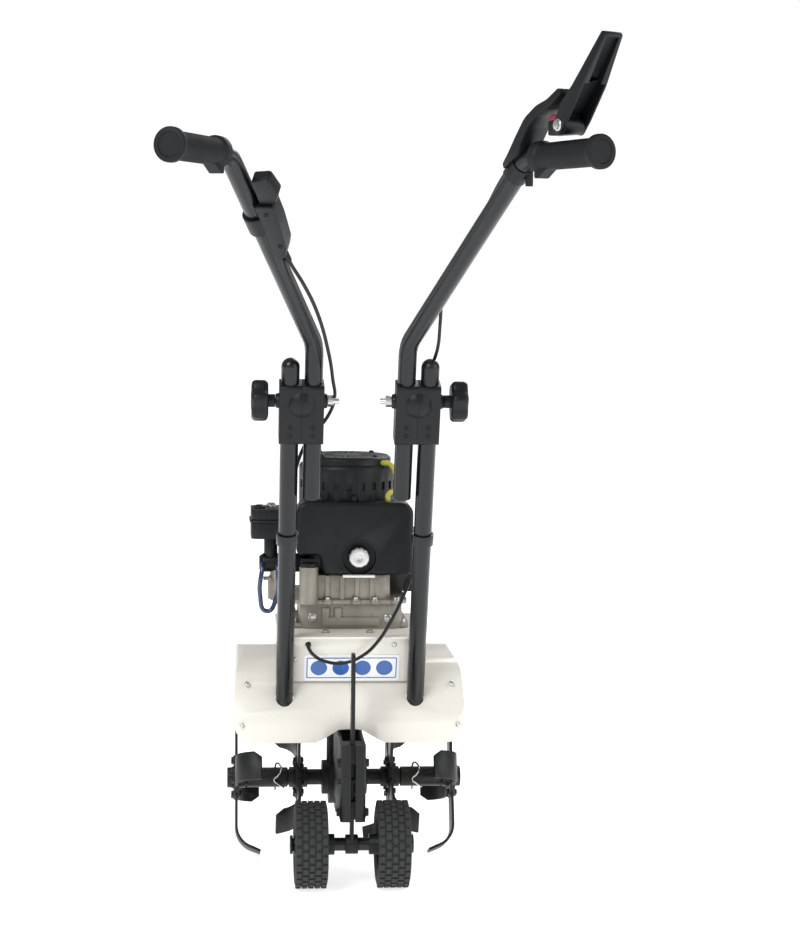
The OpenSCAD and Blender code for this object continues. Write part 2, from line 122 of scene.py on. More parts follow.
# Engine layers, from the platform up
PLATFORM_Z = 350
SEAT_Z = PLATFORM_Z + 6
FOOT_Z = PLATFORM_Z + 13
FLANGE_Z = 394
FLANGE_H = 6
CASE_TOP_Z = 436
COVER_TOP_Z = 546
DRUM_TOP_Z = 609
DRUM_R = 72
TANK_BACK = -90
CAP_AT = (14, 0, 464)
OIL_NECK = (-60, -86, 0)
INTAKE_X = -115
INTAKE_Y = -40
INTAKE_Z = 450

# Fender
FENDER_HALF = 170
FENDER_BACK = 150
FENDER_FRONT = 160
FENDER_TOP_Z = 316
HEM_Z = 200
SKIRT_X = 104       # distance of the platform's folded sides from the middle

# Rotors: node ending, distance from the middle, turn about the axle, and the side to which each blade bends
ROTORS = (("left_outer", -164, -22.5, (1, 1, 1, 1)), ("left_inner", -70, 22.5, (1, -1, 1, -1)),
          ("right_inner", 70, 22.5, (-1, 1, -1, 1)), ("right_outer", 164, -22.5, (-1, -1, -1, -1)))
AXLE_R = 12.2

# Solids that are right as they are and only need a finish
KEPT_SOLIDS = ("handle_", "cable_clip", "wheel_axle", "tine_axle", "joint_bolt", "gear_case", "wheel_left",
               "wheel_right")

# Each cable runs near its solid's route, and ends at the shaped controls
THROTTLE_ROUTE = [(-109, -446, 909), (-103, -436, 897), (-84, -416, 868), (-64, -378, 830), (-46, -328, 775),
                  (-38, -288, 738), (-34, -260, 708), (-44, -240, 680), (-68, -226, 650), (-84, -214, 610),
                  (-90, -192, 555), (-94, -158, 505), (-98, -105, 474), (-100, -70, 460), (-100, -54, 453)]
CLUTCH_ROUTE = [(166, -552, 1018), (158, -524, 1000), (145, -483, 966), (129, -441, 930), (114, -396, 892),
                (105, -355, 857), (105, -325, 815), (105, -302, 785), (101, -280, 762), (94, -256, 738),
                (89, -246, 712), (88, -236, 660), (93, -218, 600), (95, -196, 535), (95, -181, 500),
                (92, -168, 470), (85, -160, 446), (75, -160, 420), (58, -160, 384), (38, -155, 350),
                (16, -149, 328), (-10, -145, 317), (-36, -145, 319), (-56, -150, 331), (-62, -148, 340),
                (-62, -138, 343), (-62, -124, 343)]
FUEL_ROUTE = [(57, -73, COVER_TOP_Z), (57, -74, COVER_TOP_Z + 10), (72, -74, COVER_TOP_Z + 20),
              (68, -68, COVER_TOP_Z + 42), (60, -54, COVER_TOP_Z + 54), (48, -41, COVER_TOP_Z + 54)]
BREATHER_ROUTE = [(-127, -54, 450), (-128, -61, 444), (-131, -62, 405), (-121, -62, 380), (-107, -62, 400),
                  (-105, -61, 444), (-105, -54, 450)]


# ------------------------------------------------------------------ sizes and colours

def linear(code):
    """Scene-linear colour of an sRGB hex code."""
    parts = [int(code[i:i + 2], 16) / 255 for i in (0, 2, 4)]
    return tuple(c / 12.92 if c <= 0.04045 else ((c + 0.055) / 1.055) ** 2.4 for c in parts)


def colour(name, description, code):
    return FloatVectorProperty(
        name=name, description=description, subtype="COLOR", size=3, min=0, max=1, default=linear(code))


def length(name, description, default):
    return FloatProperty(
        name=name, description=description, subtype="DISTANCE", unit="LENGTH", min=0, default=default)


def angle(name, description, default):
    return FloatProperty(
        name=name, description=description, subtype="ANGLE", unit="ROTATION", default=math.radians(default))


def count(name, description, default):
    return IntProperty(name=name, description=description, min=2, default=default)


def glow(name, description, default):
    return FloatProperty(name=name, description=description, subtype="FACTOR", min=0, max=2, default=default)


class TillerColours(PropertyGroup):
    """Colours of the finishes"""

    tube: colour("Tubes", "Powder coat on the handlebar tubes", "090D11")
    plastic: colour("Plastic", "Moulded covers, knobs and blocks", "0D1114")
    cream: colour("Fender", "Powder coat on the fender and platform", "E4E1D8")
    alloy: colour("Crankcase", "Die-cast aluminium", "9B968C")
    steel: colour("Plated steel", "Zinc plate on bolts and clips", "C9CBC8")
    rotor: colour("Tines", "Paint on the tines and their axle", "0F1315")
    rust: colour("Scuffs", "Bare scuffed steel and soil", "4A443C")
    tyre: colour("Tyres", "Tread rubber", "343635")
    hose: colour("Fuel hose", "Yellow-green fuel hose", "B8B348")
    breather: colour("Clear hose", "Dark blue clear hose", "1C3152")
    label: colour("Label", "White of the label", "F0F1F4")
    sign: colour("Discs", "Blue of the label's discs and border", "2F5FA8")
    button: colour("Lock button", "Crimson plastic", "7A1F3A")


class TillerSizes(PropertyGroup):
    """Sizes and counts of the shaped pieces"""

    cable: length("Cable", "Thickness of the throttle and clutch cables", 0.005)
    sheet: length("Sheet", "Thickness of the fender's sheet", 0.0025)
    blade_width: length("Blade width", "Width of the tine blades", 0.042)
    blade_thickness: length("Blade thickness", "Thickness of the tine blades", 0.004)
    grip_ribs: count("Grip ribs", "Ribs round each grip", 16)
    knob_lobes: count("Knob lobes", "Lobes round each clamping knob", 6)
    drum_slots: count("Drum slots", "Air slots round the starter drum, and on its top", 24)
    fins: count("Fins", "Cooling fins on the cylinder", 8)
    tread_rows: count("Tread rows", "Rows of blocks across each tyre", 5)
    tread_blocks: count("Tread blocks", "Blocks in each row of a tyre", 30)


class TillerStudio(PropertyGroup):
    """Camera and lights"""

    behind: length("Camera behind", "Distance of the camera behind the tine axle", 3.3)
    aside: length("Camera aside", "Distance of the camera left of the middle", 0.2)
    height: length("Camera height", "Height of the camera above the ground", 0.9)
    pitch: angle("Pitch", "Tilt of the camera below the horizon", 5.58)
    yaw: angle("Yaw", "Turn of the camera to the right", 4.86)
    roll: angle("Roll", "Tilt of the camera to the left", 0.7)
    lens: FloatProperty(name="Lens", description="Focal length in millimetres", default=83.2)
    floor_glow: glow("Floor", "Light that the pale floor gives off", 0.75)
    room_light: glow("Room light", "Light of the white room on the tiller", 0.42)
    room_seen: glow("Room seen", "Brightness of the white room behind the tiller", 1.05)


def millimetres(size):
    """A size in the panel's metres as millimetres, without the rounding that the panel brings."""
    return round(size / MM, 3)


# ------------------------------------------------------------------ small tools

def deselect():
    if bpy.context.object and bpy.context.object.mode != "OBJECT":
        bpy.ops.object.mode_set(mode="OBJECT")
    bpy.ops.object.select_all(action="DESELECT")


def pick(piece):
    """Makes a piece the only selected one and the active one."""
    deselect()
    piece.select_set(True)
    bpy.context.view_layer.objects.active = piece


def modify(piece, kind, **settings):
    """Adds a modifier with its settings and applies it."""
    pick(piece)
    bpy.ops.object.modifier_add(type=kind)
    modifier = piece.modifiers[-1]
    for key, value in settings.items():
        setattr(modifier, key, value)
    bpy.ops.object.modifier_apply(modifier=modifier.name)


def soften(piece, width, segments, degrees):
    """Rounds the edges that turn by more than so many degrees."""
    modify(piece, "BEVEL", width=width * MM, segments=segments, limit_method="ANGLE",
           angle_limit=math.radians(degrees), use_clamp_overlap=True)


def move(x, y, z):
    return Matrix.Translation((x, y, z))


def turn(degrees, axis):
    return Matrix.Rotation(math.radians(degrees), 4, axis)


def along(direction):
    """Turns Z to run along a direction, with X in the upright plane through it."""
    flat = math.hypot(direction[0], direction[1])
    return Matrix.Rotation(math.atan2(direction[1], direction[0]), 4, "Z") @ \
        Matrix.Rotation(math.atan2(flat, direction[2]), 4, "Y")


def rounded(corners):
    """Points of an outline with its corners (u, v, radius) rounded by arcs."""
    points = []
    for i, (u, v, radius) in enumerate(corners):
        here = Vector((u, v))
        if not radius:
            points.append(here)
            continue
        back = (Vector(corners[i - 1][:2]) - here).normalized()
        ahead = (Vector(corners[(i + 1) % len(corners)][:2]) - here).normalized()
        half = back.angle(ahead) / 2
        centre = here + (back + ahead).normalized() * radius / math.sin(half)
        start = here + back * radius / math.tan(half) - centre
        end = here + ahead * radius / math.tan(half) - centre
        sweep = math.pi - 2 * half
        pieces = max(1, round(math.degrees(sweep) / ARC_STEP))
        for k in range(pieces + 1):
            share = k / pieces
            points.append(centre + (start * math.sin((1 - share) * sweep) + end * math.sin(share * sweep))
                          / math.sin(sweep))
    return points


def span(left, right, low, high, radii):
    """Corners of a rectangle between four lines, with one radius or four."""
    radii = radii if isinstance(radii, tuple) else (radii,) * 4
    places = ((left, low), (right, low), (right, high), (left, high))
    return [(u, v, radius) for (u, v), radius in zip(places, radii)]


def ring(width, depth, radius, x=0, y=0):
    """Corners of a rounded rectangle about (x, y)."""
    return span(x - width / 2, x + width / 2, y - depth / 2, y + depth / 2, radius)


def start_loop(points, low, place, fill):
    """A loop of vertices on an outline, in edit mode."""
    deselect()
    bpy.ops.mesh.primitive_circle_add(vertices=len(points), fill_type=fill)
    piece = bpy.context.object
    for vertex, (u, v) in zip(piece.data.vertices, points):
        vertex.co = place @ Vector((u, v, low))
    bpy.ops.object.mode_set(mode="EDIT")
    bpy.ops.mesh.select_all(action="SELECT")
    return piece


def slab(corners, low, high, place):
    """A plate: an outline drawn in a place's X and Y, from low to high along its Z."""
    piece = start_loop(rounded(corners), low, place, "NGON")
    rise = place.to_3x3() @ Vector((0, 0, high - low))
    bpy.ops.mesh.extrude_region_move(TRANSFORM_OT_translate={"value": rise})
    bpy.ops.mesh.select_all(action="SELECT")
    bpy.ops.mesh.normals_make_consistent(inside=False)
    bpy.ops.object.mode_set(mode="OBJECT")
    return piece


def lathe(profile, place, steps=40):
    """A turned part: a closed outline of (radius, height, corner radius) spun about a place's Z."""
    piece = start_loop(rounded(profile), 0, place @ turn(90, "X"), "NOTHING")
    bpy.ops.mesh.spin(steps=steps, angle=2 * math.pi, center=place.translation,
                      axis=(place.to_3x3() @ Vector((0, 0, 1))).normalized())
    bpy.ops.mesh.select_all(action="SELECT")
    bpy.ops.mesh.remove_doubles(threshold=0.005 * MM)
    bpy.ops.mesh.dissolve_degenerate(threshold=0.001 * MM)
    bpy.ops.mesh.normals_make_consistent(inside=False)
    bpy.ops.object.mode_set(mode="OBJECT")
    return piece


def sleeve(bore, radius, low, high, place, edge=1):
    """A turned tube with its outer edges rounded."""
    return lathe([(bore, low, 0), (radius, low, edge), (radius, high, edge), (bore, high, 0)], place)


def rod(radius, low, high, place, steps=32):
    """A round bar with broken ends along a place's Z."""
    lip = min(0.6, radius / 4)
    return lathe([(0, low, 0), (radius - lip, low, 0), (radius, low + lip, 0),
                  (radius, high - lip, 0), (radius - lip, high, 0), (0, high, 0)], place, steps)


def pipe(points, radius, place, smoothness):
    """A round bar that runs smoothly through points, with so many steps between each two."""
    deselect()
    bpy.ops.curve.primitive_bezier_curve_add()
    piece = bpy.context.object
    spline = piece.data.splines[0]
    spline.bezier_points.add(len(points) - 2)
    for knot, point in zip(spline.bezier_points, points):
        knot.co = place @ Vector(point)
        knot.handle_left_type = knot.handle_right_type = "AUTO"
    spline.resolution_u = smoothness
    piece.data.bevel_depth = radius * MM
    piece.data.bevel_resolution = 3
    piece.data.use_fill_caps = True
    bpy.ops.object.convert(target="MESH")
    return bpy.context.object


def merge(pieces):
    """One piece from several."""
    pick(pieces[0])
    for piece in pieces[1:]:
        piece.select_set(True)
    if len(pieces) > 1:
        bpy.ops.object.join()
    return pieces[0]


def carve(piece, cutters, operation="DIFFERENCE"):
    """Cuts solids out of a piece, or keeps what they share."""
    for cutter in cutters:
        modify(piece, "BOOLEAN", object=cutter, operation=operation, solver="EXACT")
        bpy.data.objects.remove(cutter)
    return piece


def body_of_node(node):
    return frame["nodes"][node]["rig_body"]


def slot_of_node(node):
    return next(s["material_slot"] for s in frame["record"]["subparts"] if s["node"] == node)


def settle(name, parts, skin, node, edge=0.0, degrees=35, extra=False):
    """One finished piece from parts, on a node's body. It stands for the node unless it is an extra."""
    piece = merge(parts)
    piece.name = piece.data.name = name
    if edge:
        soften(piece, edge, 2, degrees)
    pick(piece)
    bpy.ops.object.shade_smooth_by_angle(angle=math.radians(degrees))
    piece.data.materials.clear()
    piece.data.materials.append(SKINS[skin])
    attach(piece, body_of_node(node))
    if not extra:
        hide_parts(node)
    return piece


def dress(node, edge):
    """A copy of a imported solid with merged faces, broken edges and smooth rounds stands for it."""
    piece = bpy.data.objects.new(f"{node}_dressed", frame["nodes"][node].data.copy())
    bpy.context.scene.collection.objects.link(piece)
    pick(piece)
    bpy.ops.object.mode_set(mode="EDIT")
    bpy.ops.mesh.select_all(action="SELECT")
    bpy.ops.mesh.remove_doubles(threshold=0.01 * MM)
    bpy.ops.mesh.dissolve_limited(angle_limit=math.radians(0.3))
    bpy.ops.object.mode_set(mode="OBJECT")
    return settle(f"{node}_dressed", [piece], slot_of_node(node), node, edge, 30)


# ------------------------------------------------------------------ materials

SKINS = {}      # the finishes by their names, filled by the finishes operator


def add(tree, kind, inputs=None, **settings):
    """Adds a node, sets its properties, and gives each named input a value or another node's output."""
    node = tree.nodes.new(kind)
    for key, value in settings.items():
        setattr(node, key, value)
    for key, value in (inputs or {}).items():
        if isinstance(value, bpy.types.NodeSocket):
            tree.links.new(value, node.inputs[key])
        else:
            node.inputs[key].default_value = value
    return node


def surface(name):
    """A material with an empty tree, a shader and the piece's own coordinates."""
    material = bpy.data.materials.new(name)
    material.use_nodes = True
    tree = material.node_tree
    tree.nodes.clear()
    shader = add(tree, "ShaderNodeBsdfPrincipled")
    add(tree, "ShaderNodeOutputMaterial", {"Surface": shader.outputs[0]})
    place = add(tree, "ShaderNodeTexCoord").outputs["Object"]
    return material, tree, shader, place


def rgba(tint, factor=1.0):
    return (*(min(1, c * factor) for c in tint), 1.0)


def mix(tree, factor, first, second):
    return add(tree, "ShaderNodeMix", {"Factor": factor, 6: first, 7: second}, data_type="RGBA").outputs[2]


def noise(tree, place, size_mm, detail, roughness=0.5):
    """Cloudy noise whose lumps are about a size in millimetres."""
    return add(tree, "ShaderNodeTexNoise", {
        "Vector": place, "Scale": 1 / (size_mm * MM), "Detail": detail, "Roughness": roughness}).outputs[0]


def remap(tree, value, low, high, start, end):
    """Stretches a value's span from low to high over another span."""
    return add(tree, "ShaderNodeMapRange", {0: value, 1: low, 2: high, 3: start, 4: end}).outputs[0]


def maths(tree, operation, first, second):
    return add(tree, "ShaderNodeMath", {0: first, 1: second}, operation=operation).outputs[0]


def finish(name, tint, roughness, grain_mm, bump, metallic=0.0, specular=0.5, spread=0.06,
           blotch_mm=60, blotch=0.08, stretch=(1, 1, 1), worn=None, wear=0.0, coat=0.0):
    """A surface from two scales: its fine grain, and broad blotches of shade, gloss and dirt."""
    material, tree, shader, place = surface(name)
    place = add(tree, "ShaderNodeMapping", {"Vector": place, "Scale": stretch}).outputs[0]
    grain = noise(tree, place, grain_mm, 4.0)
    broad = noise(tree, place, blotch_mm, 6.0)
    shade = mix(tree, grain, rgba(tint, 1 - spread), rgba(tint, 1 + spread))
    shade = mix(tree, remap(tree, broad, 0.35, 0.7, 0.0, blotch), shade, rgba(worn or tint, 1.5))
    rough = remap(tree, broad, 0.3, 0.7, roughness - 0.08, roughness + 0.08)
    if wear:
        # scuffs are patches of about 14 mm with ragged edges, and are duller than what they bare
        mask = remap(tree, noise(tree, place, 14, 9.0, 0.75), 0.66 - 0.12 * wear, 0.7, 0.0, 1.0)
        shade = mix(tree, mask, shade, rgba(worn))
        rough = maths(tree, "ADD", rough, maths(tree, "MULTIPLY", mask, 0.2))
    height = add(tree, "ShaderNodeBump", {"Height": grain, "Strength": bump, "Distance": 0.3 * MM})
    tree.links.new(shade, shader.inputs["Base Color"])
    tree.links.new(rough, shader.inputs["Roughness"])
    tree.links.new(height.outputs[0], shader.inputs["Normal"])
    shader.inputs["Metallic"].default_value = metallic
    shader.inputs["Specular IOR Level"].default_value = specular
    shader.inputs["Coat Weight"].default_value = coat
    return material


def finishes(tints):
    """Every finish, by the material slot that it serves."""
    return {
        # powder coat on tube flows into a faint orange peel and keeps a broken sheen
        "black_paint": finish("black_powder_coat", tints.tube, 0.3, 1.4, 0.12, specular=0.4, coat=0.1),
        # the same coat in cream lies even on flat sheet, with hardly a change of shade
        "cream_paint": finish("cream_powder_coat", tints.cream, 0.32, 1.6, 0.1, spread=0.015,
                              blotch=0.03, blotch_mm=120, worn=tints.cream, coat=0.15),
        # a spark-eroded mould leaves a stipple and a dull bloom on nylon
        "black_plastic": finish("stippled_plastic", tints.plastic, 0.42, 0.7, 0.35, specular=0.3),
        # paint over sand-cast iron keeps the sand's grain, with a few scuffs
        "cast_case": finish("painted_cast_iron", tints.rotor, 0.5, 1.1, 0.6, specular=0.35,
                            worn=tints.rust, wear=0.25),
        # die casting leaves a grainy skin with darker, oily patches in its hollows
        "crankcase_alu": finish("die_cast_aluminium", tints.alloy, 0.45, 0.9, 0.5, metallic=0.45,
                                spread=0.12, blotch=0.3, blotch_mm=35, worn=tints.rust, wear=0.2),
        # bright zinc plate is drawn out in fine streaks along the part
        "steel_bright": finish("zinc_plate", tints.steel, 0.25, 0.5, 0.15, metallic=1.0,
                               spread=0.1, stretch=(1, 1, 0.2)),
        # sprayed paint on the pressed blades is scuffed to bare steel and soil
        "tine_steel": finish("scuffed_tine_paint", tints.rotor, 0.45, 1.3, 0.4, specular=0.4,
                             worn=tints.rust, wear=0.7),
        # heat turns the muffler's pressed steel dark and dull, with rusty patches
        "muffler_steel": finish("heat_darkened_steel", tints.rotor, 0.5, 0.9, 0.4, metallic=0.3,
                                spread=0.15, blotch=0.3, blotch_mm=25, worn=tints.rust, wear=0.3),
        # vulcanised tread rubber is matt, dusty and slightly open-grained
        "tyre_rubber": finish("dusty_tread_rubber", tints.tyre, 0.78, 0.8, 0.6, specular=0.3,
                              spread=0.12, blotch=0.2, blotch_mm=20, worn=tints.tyre),
        # moulded grip rubber has a close, soft stipple that takes the shine away
        "grip_rubber": finish("knurled_grip_rubber", tints.plastic, 0.62, 0.9, 0.8, specular=0.3,
                              spread=0.12),
        # extruded fuel hose is smooth and glossy, with slow changes of shade
        "fuel_line": finish("fuel_hose", tints.hose, 0.3, 3.0, 0.05, spread=0.08, coat=0.3),
        # extruded clear PVC shows as dark, wet-looking gloss
        "breather_line": finish("clear_hose", tints.breather, 0.15, 4.0, 0.03, spread=0.1, coat=0.5),
        # the cable's extruded sheath is smooth, with a low sheen
        "cable_sheath": finish("extruded_sheath", tints.tube, 0.38, 0.8, 0.15, specular=0.4),
        # laminated film is flat, even and slightly glossy
        "label_white": finish("printed_film", tints.label, 0.28, 1.2, 0.03, spread=0.01, blotch=0.02,
                              worn=tints.label, coat=0.3),
        # screen print under the same film has its gloss
        "label_blue": finish("blue_print", tints.sign, 0.28, 1.2, 0.03, spread=0.03, coat=0.3),
        # a polished mould leaves the small button smoother than the blocks
        "crimson_plastic": finish("crimson_plastic", tints.button, 0.35, 0.8, 0.2),
    }


# ------------------------------------------------------------------ fasteners

def screw(place, radius, height):
    """A domed cross-slotted screw that stands on a place's X-Y plane."""
    head = lathe([(0, -1, 0), (radius, -1, 0), (radius, height * 0.4, 0), (radius * 0.7, height * 0.9, 2),
                  (0, height, 0)], place, 20)
    slots = [slab(ring(*size, 0), height * 0.55, height + 2, place)
             for size in ((radius * 1.3, 1.0), (1.0, radius * 1.3))]
    return carve(head, slots)


def hexagon(place, radius, height):
    """A flanged hexagon head."""
    corners = [(radius * math.cos(k * math.pi / 3), radius * math.sin(k * math.pi / 3), 0) for k in range(6)]
    rim = radius * 1.25
    flange = lathe([(0, -0.5, 0), (rim, -0.5, 0), (rim, 1, 0), (radius, 1.6, 0), (0, 1.6, 0)], place, 20)
    return merge([slab(corners, 0, height, place), flange])


# ------------------------------------------------------------------ operators

class TILLER_OT_finishes(Operator):
    """Make every finish from the panel's colours"""

    bl_idname = "tiller.finishes"
    bl_label = "Finishes"

    def execute(self, context):
        SKINS.update(finishes(context.scene.tiller_colours))
        return {"FINISHED"}


class TILLER_OT_solids(Operator):
    """Dress the tubes and the other solids whose shape is right"""

    bl_idname = "tiller.solids"
    bl_label = "Solids"

    def execute(self, context):
        for node in frame["nodes"]:
            if node.startswith(KEPT_SOLIDS):
                dress(node, 0 if node.startswith("handle_upper") else HAIR)
        return {"FINISHED"}


class TILLER_OT_grips(Operator):
    """Rubber grips with a collar, ribs, a finger stop and a flange"""

    bl_idname = "tiller.grips"
    bl_label = "Grips"

    def execute(self, context):
        ribs = context.scene.tiller_sizes.grip_ribs
        bore, body, flange, pitch = TUBE_R + FIT_GAP, 17, 21, 96 / ribs
        collar = [(bore, 0, 0), (19.5, 0, 1), (19.8, 12, 2), (body, 16, 2)]
        waves = []
        for k in range(ribs):
            foot = 24 + k * pitch
            waves += [(body + 0.02 * k, foot - 1.6, 0), (body - 0.7 + 0.02 * k, foot, 0)]
        end = [(17.3, GRIP_LEN - 11, 0), (flange, GRIP_LEN - 8, 1), (flange, GRIP_LEN - 1.5, 1.5),
               (flange - 2, GRIP_LEN, 0), (15, GRIP_LEN, 0), (14, GRIP_LEN - 1.4, 0), (0, GRIP_LEN - 1.4, 0),
               (0, GRIP_LEN - 3.9, 0), (bore, GRIP_LEN - 3.9, 0)]
        for side, flip in SIDES:
            place = flip @ DECK @ move(*(TOP_BEND + GRIP_START * GRIP_DIR)) @ along(GRIP_DIR)
            rubber = lathe(collar + waves + end, place)
            stop = slab([(14, 1, 0), (26, 1, 3), (26, 9, 4), (16, 26, 0), (14, 26, 0)], -8, 8, place @ XZ)
            settle(f"rubber_grip_{side}", [rubber, stop], "grip_rubber", f"grip_{side}", degrees=50)
        return {"FINISHED"}


class TILLER_OT_joints(Operator):
    """Folding joints: two moulded blocks on each bolt, and the clamping knobs"""

    bl_idname = "tiller.joints"
    bl_label = "Joints"

    def block(self, name, node, place, inner, outer):
        """A block from inner to outer that holds one tube, with half of the joint's barrel."""
        half, barrel, wide = 17, 25, abs(outer - inner)
        body = slab(span(-half, half, -60, 27, (6, 6, 5, 5)), inner, outer, place @ YZ)
        axle = place @ move(inner, 0, 0) @ turn(90 if outer > inner else -90, "Y")
        quarter = [(barrel * math.cos(k * math.pi / 16), barrel * math.sin(k * math.pi / 16), 0)
                   for k in range(8)]
        dome = lathe([(0, 0, 0), *quarter, (0, barrel, 0)], axle)
        boss = lathe([(0, wide - 1, 0), (11, wide - 1, 0), (9.5, wide + 5, 1), (0, wide + 5, 0)], axle)
        screws = [screw(place @ move((inner + outer) / 2, -half, z) @ turn(90, "X"), 3.5, 2)
                  for z in (-46, -34)]
        settle(name, [body, dome, boss] + screws, "black_plastic", node, 0.9)

    def knob(self, name, node, place, lobes):
        """A lobed knob on a place's Z, with its hub towards the block and a raised ring on its face."""
        radius, swell, thick = 27.5, 2.3, 23
        outline = []
        for k in range(72):
            spin = k * math.pi / 36
            reach = radius + swell * math.cos(lobes * spin)
            outline.append((reach * math.cos(spin), reach * math.sin(spin), 0))
        handle = slab(outline, 0, thick, place)
        soften(handle, 6, 4, 60)
        hub = lathe([(0, -9.5, 0), (9, -9.5, 1), (9, 1, 0), (0, 1, 0)], place)
        rim = lathe([(8, thick - 1, 0), (13, thick - 1, 0), (13, thick + 0.6, 0.6), (8, thick + 0.6, 0.6)],
                    place)
        settle(name, [handle, hub, rim], "black_plastic", node, degrees=40)

    def execute(self, context):
        for side, flip in SIDES:
            place = flip @ LEANING
            self.block(f"lower_block_{side}", f"joint_block_{side}", place, MID_X + RUN_GAP / 2, LOWER_X + 15)
            self.block(f"upper_block_{side}", f"clamp_block_{side}", place, MID_X - RUN_GAP / 2,
                       UPPER_X - 14.5)
            self.knob(f"clamp_knob_{side}", f"knob_{side}", place @ move(LOWER_X + 30, 0, 0) @ turn(90, "Y"),
                      context.scene.tiller_sizes.knob_lobes)
        return {"FINISHED"}


class TILLER_OT_throttle(Operator):
    """Throttle case, its strap and its thumb lever, on the left tube"""

    bl_idname = "tiller.throttle"
    bl_label = "Throttle"

    def execute(self, context):
        place = FLIP @ DECK @ move(*(FIRST_BEND + 196 * RISE)) @ along(RISE) @ Matrix.Scale(-1, 4, (0, 1, 0))
        bore, half = TUBE_R + FIT_GAP, 13.5
        case = slab([(8, 0, 3), (22, 6, 8), (29, 24, 12), (34, 70, 20), (35, 106, 5), (10, 106, 2)],
                    -half, half, place @ YZ)
        soften(case, 3.5, 4, 50)
        strap = sleeve(bore, 16.8, 52, 82, place)
        heads = [screw(place @ move(half - 0.1, 22, z) @ turn(90, "Y"), 3.2, 2) for z in (30, 92)]
        settle("throttle_case", [case, strap] + heads, "black_plastic", "throttle_control", 0.4)
        lever = slab([(17, 106.3, 2), (33, 106.3, 2), (40, 111, 5), (47, 124, 6), (42, 152, 5), (18, 150, 4)],
                     -9, 9, place @ YZ)
        settle("throttle_thumb_lever", [lever], "black_plastic", "throttle_lever", 3)
        return {"FINISHED"}


class TILLER_OT_clutch(Operator):
    """Clutch plate, its raised hand lever, pivot bolt and lock button, on the right tube"""

    bl_idname = "tiller.clutch"
    bl_label = "Clutch"

    def execute(self, context):
        hand = DECK @ move(*TOP_BEND) @ turn(SPLAY - 90, "Z")
        pivot = hand @ move(90, 0, 36)
        plate = slab([(-28, -12, 0), (2, 4, 0), (9, 18, 8), (23, 36, 14), (40, 48, 16), (62, 56, 8),
                      (90, 72, 3), (89, 82, 4), (62, 68, 24), (40, 62, 24), (15, 48, 24), (-4, 26, 20),
                      (-20, 6, 12), (-31, -6, 3)], -16, 16, hand @ XZ)
        lug = slab([(56, 25, 3), (90, 25, 4), (99, 36, 8), (92, 52, 4), (86, 72, 2), (72, 64, 2), (78, 52, 4),
                    (76, 42.5, 3), (56, 42.5, 2)], -8.5, 8.5, hand @ XZ)
        saddle = sleeve(TUBE_R + FIT_GAP, 14.6, -36, -12, DECK @ move(*TOP_BEND) @ along(RISE))
        barrel = rod(11, -14.6, 14.6, pivot @ XZ)
        adjuster = rod(4.8, -34, -11, hand @ move(-6, 8, 0))
        bolt = hexagon(hand @ move(12, 0, 44) @ turn(-42, "Y"), 5, 4)
        parts = [plate, lug, saddle, barrel, adjuster, bolt]
        settle("clutch_plate", parts, "black_plastic", "clutch_bracket", 0.8)
        self.lever(pivot @ turn(-52, "Y"))
        ends = [hexagon(pivot @ move(0, s * 18, 0) @ turn(-90 * s, "X"), 6, 4) for s in (-1, 1)]
        settle("clutch_pivot_bolt", ends, "steel_bright", "clutch_bracket", 0.4, extra=True)
        button = slab([(50, 42.8, 1), (74, 42.8, 2), (74, 50, 3), (60, 51, 4)], -7, 7, hand @ XZ)
        settle("lever_lock_button", [button], "crimson_plastic", "clutch_bracket", 1.2, extra=True)
        return {"FINISHED"}

    def lever(self, place):
        """The hand lever: a tapering channel whose forked end straddles the pivot."""
        reach, half = 132, 18
        lever = slab([(-11, -9, 8), (14, -11, 12), (60, -10, 60), (reach, -4.5, 3), (reach, 4.5, 4),
                      (60, 6, 80), (24, 13, 20), (-11, 8, 8)], -half, half, place @ XZ)
        fork = slab([(-20, -30, 0), (66, -30, 0), (66, 2.5, 0), (30, 7.5, 0), (12, 8.6, 0), (7, 8.9, 0),
                     (5, 30, 0), (-20, 30, 0)], -15, 15, place @ XZ)
        hollow = slab([(60, -30, 0), (reach - 4, -30, 0), (reach - 4, 1, 0), (60, 2.5, 0)], -9, 9, place @ XZ)
        tapers = [slab([(60, s * 18.4, 0), (reach + 4, s * 12.5, 0), (reach + 4, s * 34, 0)], -40, 40, place)
                  for s in (-1, 1)]
        carve(lever, [fork, hollow] + tapers)
        settle("clutch_hand_lever", [lever], "black_plastic", "clutch_lever", 1.2)


class TILLER_OT_cables(Operator):
    """Throttle and clutch cables with their ferrules"""

    bl_idname = "tiller.cables"
    bl_label = "Cables"

    def execute(self, context):
        radius = millimetres(context.scene.tiller_sizes.cable) / 2
        for node, route in (("throttle_cable", THROTTLE_ROUTE), ("clutch_cable", CLUTCH_ROUTE)):
            sheath = pipe(route, radius, DECK, 8)
            ferrules = []
            for end, inward in ((route[0], route[1]), (route[-1], route[-2])):
                run = (Vector(inward) - Vector(end)).normalized()
                ferrules.append(lathe([(0, -1, 0), (4, -1, 0.5), (4, 12, 0.5), (3, 16, 0), (0, 16, 0)],
                                      DECK @ move(*end) @ along(run), 20))
            settle(node + "_sheath", [sheath], "cable_sheath", node, degrees=50)
            settle(node + "_ferrules", ferrules, "black_plastic", node, extra=True)
        return {"FINISHED"}


class TILLER_OT_hoses(Operator):
    """Fuel hose over the tank, and the breather's loop"""

    bl_idname = "tiller.hoses"
    bl_label = "Hoses"

    def execute(self, context):
        settle("fuel_hose_bent", [pipe(FUEL_ROUTE, 4, DECK, 8)], "fuel_line", "fuel_hose", degrees=50)
        settle("breather_loop", [pipe(BREATHER_ROUTE, 3.5, DECK, 8)], "breather_line", "breather_hose",
               degrees=50)
        return {"FINISHED"}


